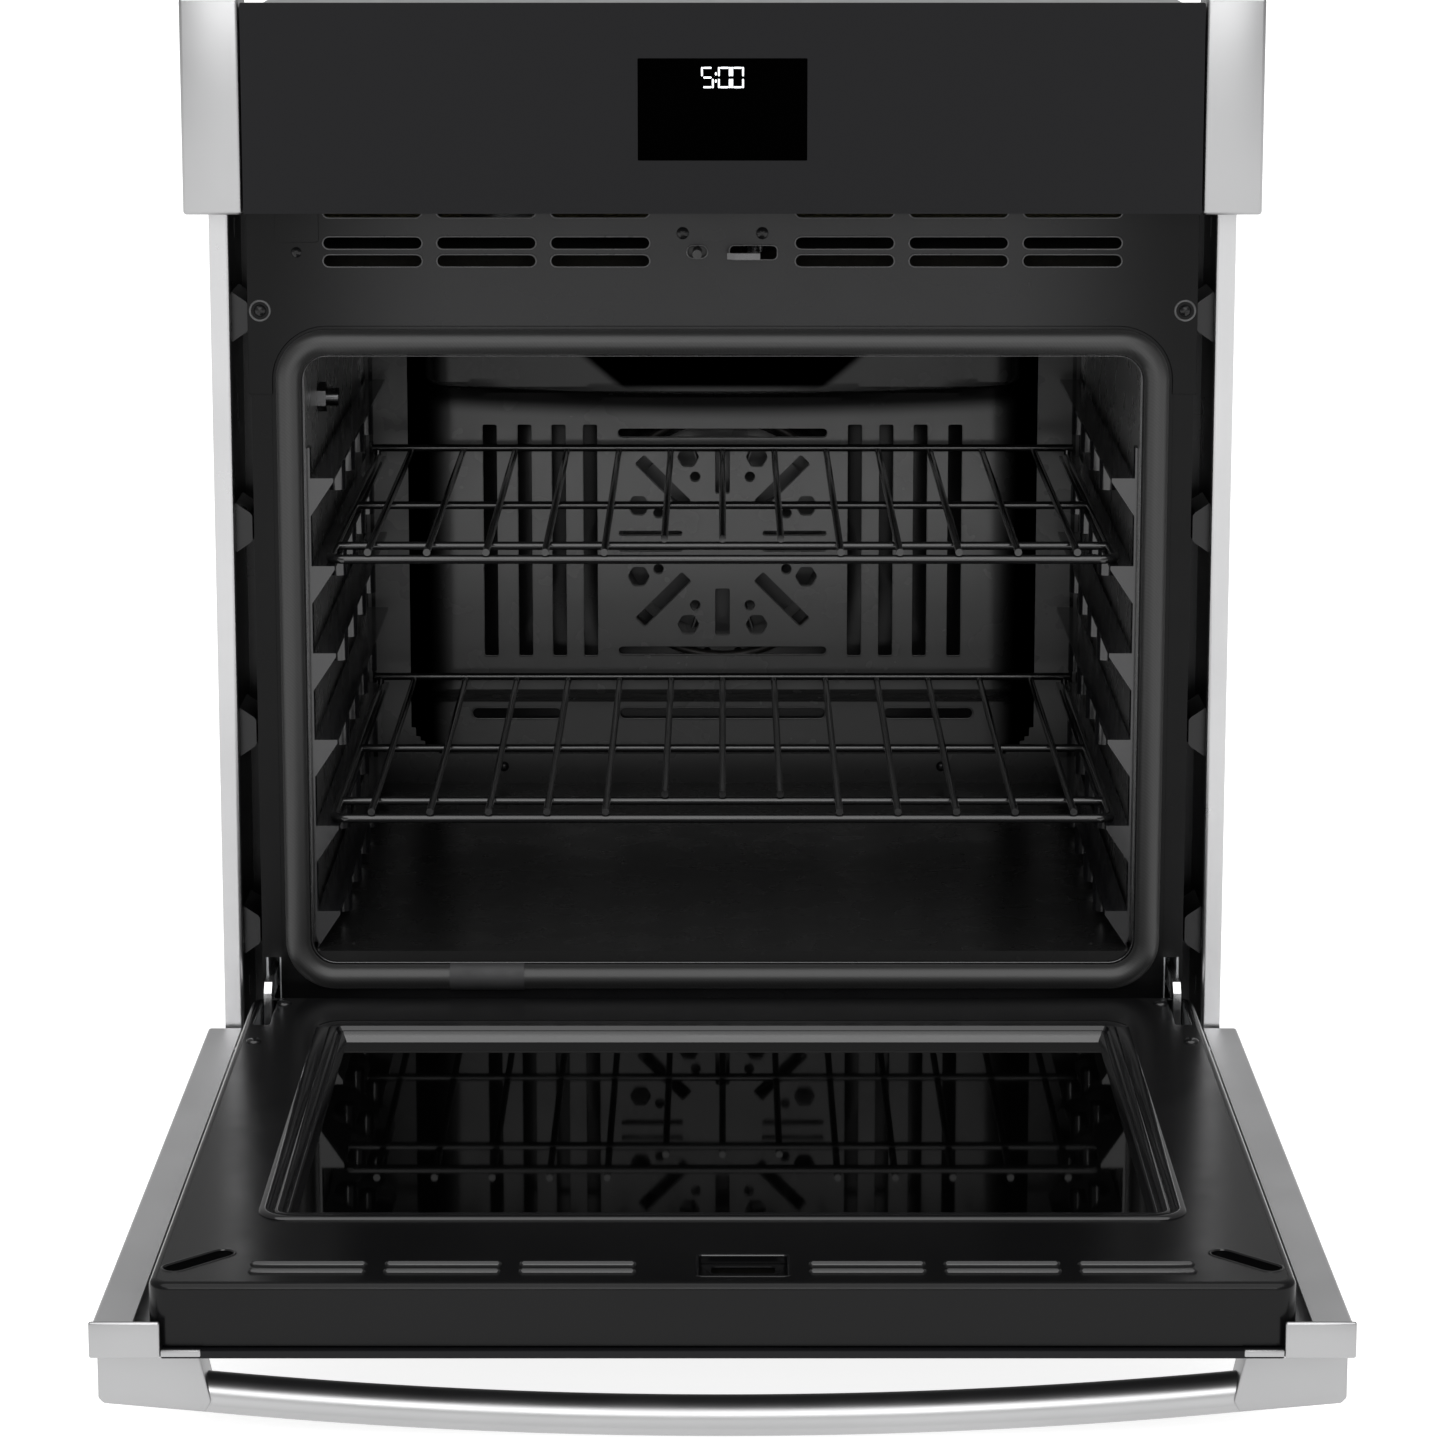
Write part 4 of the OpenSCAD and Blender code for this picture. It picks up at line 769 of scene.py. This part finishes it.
screws = [dome(s * x, z, 5, 2.2, DOOR_T - 0.1) for s in (-1, 1)
          for x, z in ((286.4, 71.8), (297.6, 158.2))]
screws += [dome(s * (LINER_X - 12), LINER_TOP - 50, 3.6, 1.8, DOOR_T - 4.9) for s in (-1, 1)]
piece("door_trim_details", *joined(*rolled, *screws), BEAD, "door", to=door,
      slot="black_enamel")
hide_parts("door_liner")
pans = [sweep(o, [(0, DOOR_T), (0, DOOR_T - 5), (-6.4, DOOR_T - 5.2)], loop=False)
        for o in pockets]
latch_floor = filled(rounded(-13.3, 35.5, 566, 600, 2, 4),
                     [rounded(-6, 28.5, 571, 581, 2, 4), rounded(-6, 28.5, 587, 597, 2, 4)],
                     DOOR_T - 6.2, DOOR_T - 5, 0.3)
latch_wall = sweep(recess, [(0, DOOR_T), (0, DOOR_T - 5.5)], loop=False)
piece("door_pockets", *joined(*pans, latch_floor, latch_wall), LINER, "door", to=door,
      slot="black_enamel")

# ---- window bead: a rolled ring that steps down to the glass ----
def bulge(centre, r, rise, q):
    """Points over a small rolled ridge, from its outer to its inner foot."""
    return [(centre + r * math.cos(math.radians(a)), q + rise * math.sin(math.radians(a)))
            for a in range(10, 171, 16)]


bead = [(1.6, DOOR_T - 0.6)] + bulge(-2.6, 4.2, 2.2, DOOR_T)
bead += bulge(-9.4, 2.4, 1.3, DOOR_T - 0.4)
bead += [(-13.0, DOOR_T - 2.6)] + bulge(-14.6, 1.1, 0.8, DOOR_T - 3.0)
bead += [(-17.4, DOOR_T - 6.6), (-18.2, DOOR_T - 9.0), (-22.8, DOOR_T - 9.4),
         (-23.2, DOOR_T - 12), (1.6, DOOR_T - 12)]
ring_verts, ring_faces = sweep(window, bead)
# it lies lower along the run that the seal presses on
ring_verts = [(x, min(q, DOOR_T + 2.2 * smooth_step((z - 124) / 14)), z)
              for x, q, z in ring_verts]
ring = piece("window_bead", ring_verts, ring_faces, BEAD, "door", to=door, slot="black_enamel",
             smooth=28)
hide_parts("door_window_frame")

# ---- door rails with their end plates ----
r_x = (RAIL_X, OVERALL_X)
for side, node in ((1, "door_rail_right"), (-1, "door_rail_left")):
    t, rr = 1.2, 2.4
    hand = "right" if side > 0 else "left"
    front_bend = [(r_x[1] - rr + rr * math.sin(math.radians(a)),
                   rr - rr * math.cos(math.radians(a))) for a in range(0, 91, 15)]
    back_bend = [(r_x[1] - rr + rr * math.cos(math.radians(a)),
                  RAIL_DEPTH - rr + rr * math.sin(math.radians(a))) for a in range(0, 91, 15)]
    prof = [(r_x[0], 0)] + front_bend + back_bend + \
        [(RAIL_LIP_X, RAIL_DEPTH), (RAIL_LIP_X, RAIL_DEPTH - t), (r_x[1] - t, RAIL_DEPTH - t),
         (r_x[1] - t, t), (r_x[0], t)]
    v, f = prism(prof, DOOR_LOW, DOOR_TOP - 1.5)
    rail = piece("door_edge_" + hand, mirrored(v, side), f, RAIL, "door", to=door,
                 slot="stainless_steel", smooth=30)
    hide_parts(node)
    v, f = box(r_x, (0, 20.3), (DOOR_TOP - 3, DOOR_TOP))
    end = piece("door_edge_end_" + hand, mirrored(v, side), f, STEEL, "door", to=door,
                slot="stainless_steel")
    softened(end, 1.3, 3)
    v, f = box((279.6, 301.2), (0.8, 4.8), (DOOR_TOP - 2.5, DOOR_TOP + 0.1))
    foot = piece("handle_foot_" + hand, mirrored(v, side), f, STEEL, "door", to=door,
                 slot="stainless_steel")
    softened(foot, 0.8, 2)

# ---- handle ----
reach = math.asin((OVERALL_X - BRACKET_W + 30) / BOW_R)
steps = 72
section = []
for i in range(48):
    a = math.radians(7.5 * i)
    section.append((HANDLE_R * math.cos(a), HANDLE_R * math.sin(a)))
# a flat along the bar's outer upper edge, as (outward, up) pairs of the shut door
flat = math.radians(45)
cut_at = HANDLE_R * math.cos(math.radians(27))
section = [(o, u) if o * math.cos(flat) + u * math.sin(flat) < cut_at else
           (o - (o * math.cos(flat) + u * math.sin(flat) - cut_at) * math.cos(flat),
            u - (o * math.cos(flat) + u * math.sin(flat) - cut_at) * math.sin(flat))
           for o, u in section]
verts, faces = [], []
k = len(section)
for i in range(steps + 1):
    a = reach * (2 * i / steps - 1)
    for o, u in section:
        r = BOW_R + o
        verts.append((r * math.sin(a), -HANDLE_OUT + BOW_R - r * math.cos(a), HANDLE_Z + u))
for i in range(steps):
    for a in range(k):
        b = (a + 1) % k
        faces.append((i * k + a, i * k + b, (i + 1) * k + b, (i + 1) * k + a))
faces += [tuple(range(k)), tuple(steps * k + a for a in range(k))]
bar = piece("handle_grip", verts, faces, BRUSHED, "door", to=door, slot="stainless_steel",
            smooth=25)
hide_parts("handle_bar")

inner_x = OVERALL_X - BRACKET_W
front_q = -HANDLE_OUT + (OVERALL_X - 20) ** 2 / (2 * BOW_R) - HANDLE_R + 2
for side in (1, -1):
    outline = [(inner_x + 8, -0.05), (inner_x, front_q + 4), (inner_x + 3, front_q - 2),
               (OVERALL_X - 3, front_q + 3), (OVERALL_X, front_q + 6), (OVERALL_X, -0.05)]
    v, f = prism(outline, HANDLE_Z - BRACKET_HALF_H, HANDLE_Z + BRACKET_HALF_H)
    b = piece("handle_end_" + ("right" if side > 0 else "left"), mirrored(v, side), f, STEEL,
              "door", to=door, slot="stainless_steel")
    softened(b, 1.2, 3, 20)
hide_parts("handle_brackets")

# ---- studio ----

def build_studio():
    """A pale floor, a soft overhead sun, one soft light in front, and the camera."""
    sc = bpy.context.scene
    sc.view_settings.view_transform = "Standard"
    w = bpy.data.worlds.new("studio")
    sc.world = w
    w.use_nodes = True
    bg = w.node_tree.nodes["Background"]
    bg.inputs["Color"].default_value = (1, 1, 1, 1)
    bg.inputs["Strength"].default_value = 0.36
    me = bpy.data.meshes.new("floor")
    s = 60.0  # half the floor's width, in metres
    me.from_pydata([(-s, -s, 0), (s, -s, 0), (s, s, 0), (-s, s, 0)], [], [(0, 1, 2, 3)])
    fl = bpy.data.objects.new("floor", me)
    sc.collection.objects.link(fl)
    me.materials.append(varied("floor_paper", (0.55, 0.55, 0.55), 0.8, 0.0, 0.01, 2, 0.02,
                               200, 0.00001, Specular_IOR_Level=0.1,
                               Emission_Color=(1, 1, 1, 1), Emission_Strength=0.86))

    def area(name, at, aim, size, power):
        li = bpy.data.lights.new(name, "AREA")
        li.shape = "RECTANGLE"
        li.size, li.size_y = size
        li.energy = power
        ob = bpy.data.objects.new(name, li)
        sc.collection.objects.link(ob)
        ob.location = at
        ob.rotation_euler = (Vector(aim) - Vector(at)).to_track_quat("-Z", "Y").to_euler()

    sun = bpy.data.lights.new("overhead", "SUN")
    sun.energy = 2.6
    sun.angle = math.radians(75)
    so = bpy.data.objects.new("overhead", sun)
    sc.collection.objects.link(so)
    so.rotation_euler = (math.radians(24), 0, 0)
    area("front_soft", (0, -4.4, 1.7), (0, 0, 0.33), (2.6, 1.2), 42)

    cam = bpy.data.cameras.new("camera")
    cam.sensor_width = 36
    cam.lens = LENS_MM
    cam.shift_y = LENS_SHIFT
    cam.clip_end = 200
    co = bpy.data.objects.new("camera", cam)
    co.location = CAMERA_AT
    co.rotation_euler = (math.radians(90 - CAMERA_PITCH), 0, 0)
    sc.collection.objects.link(co)
    sc.camera = co


build_studio()
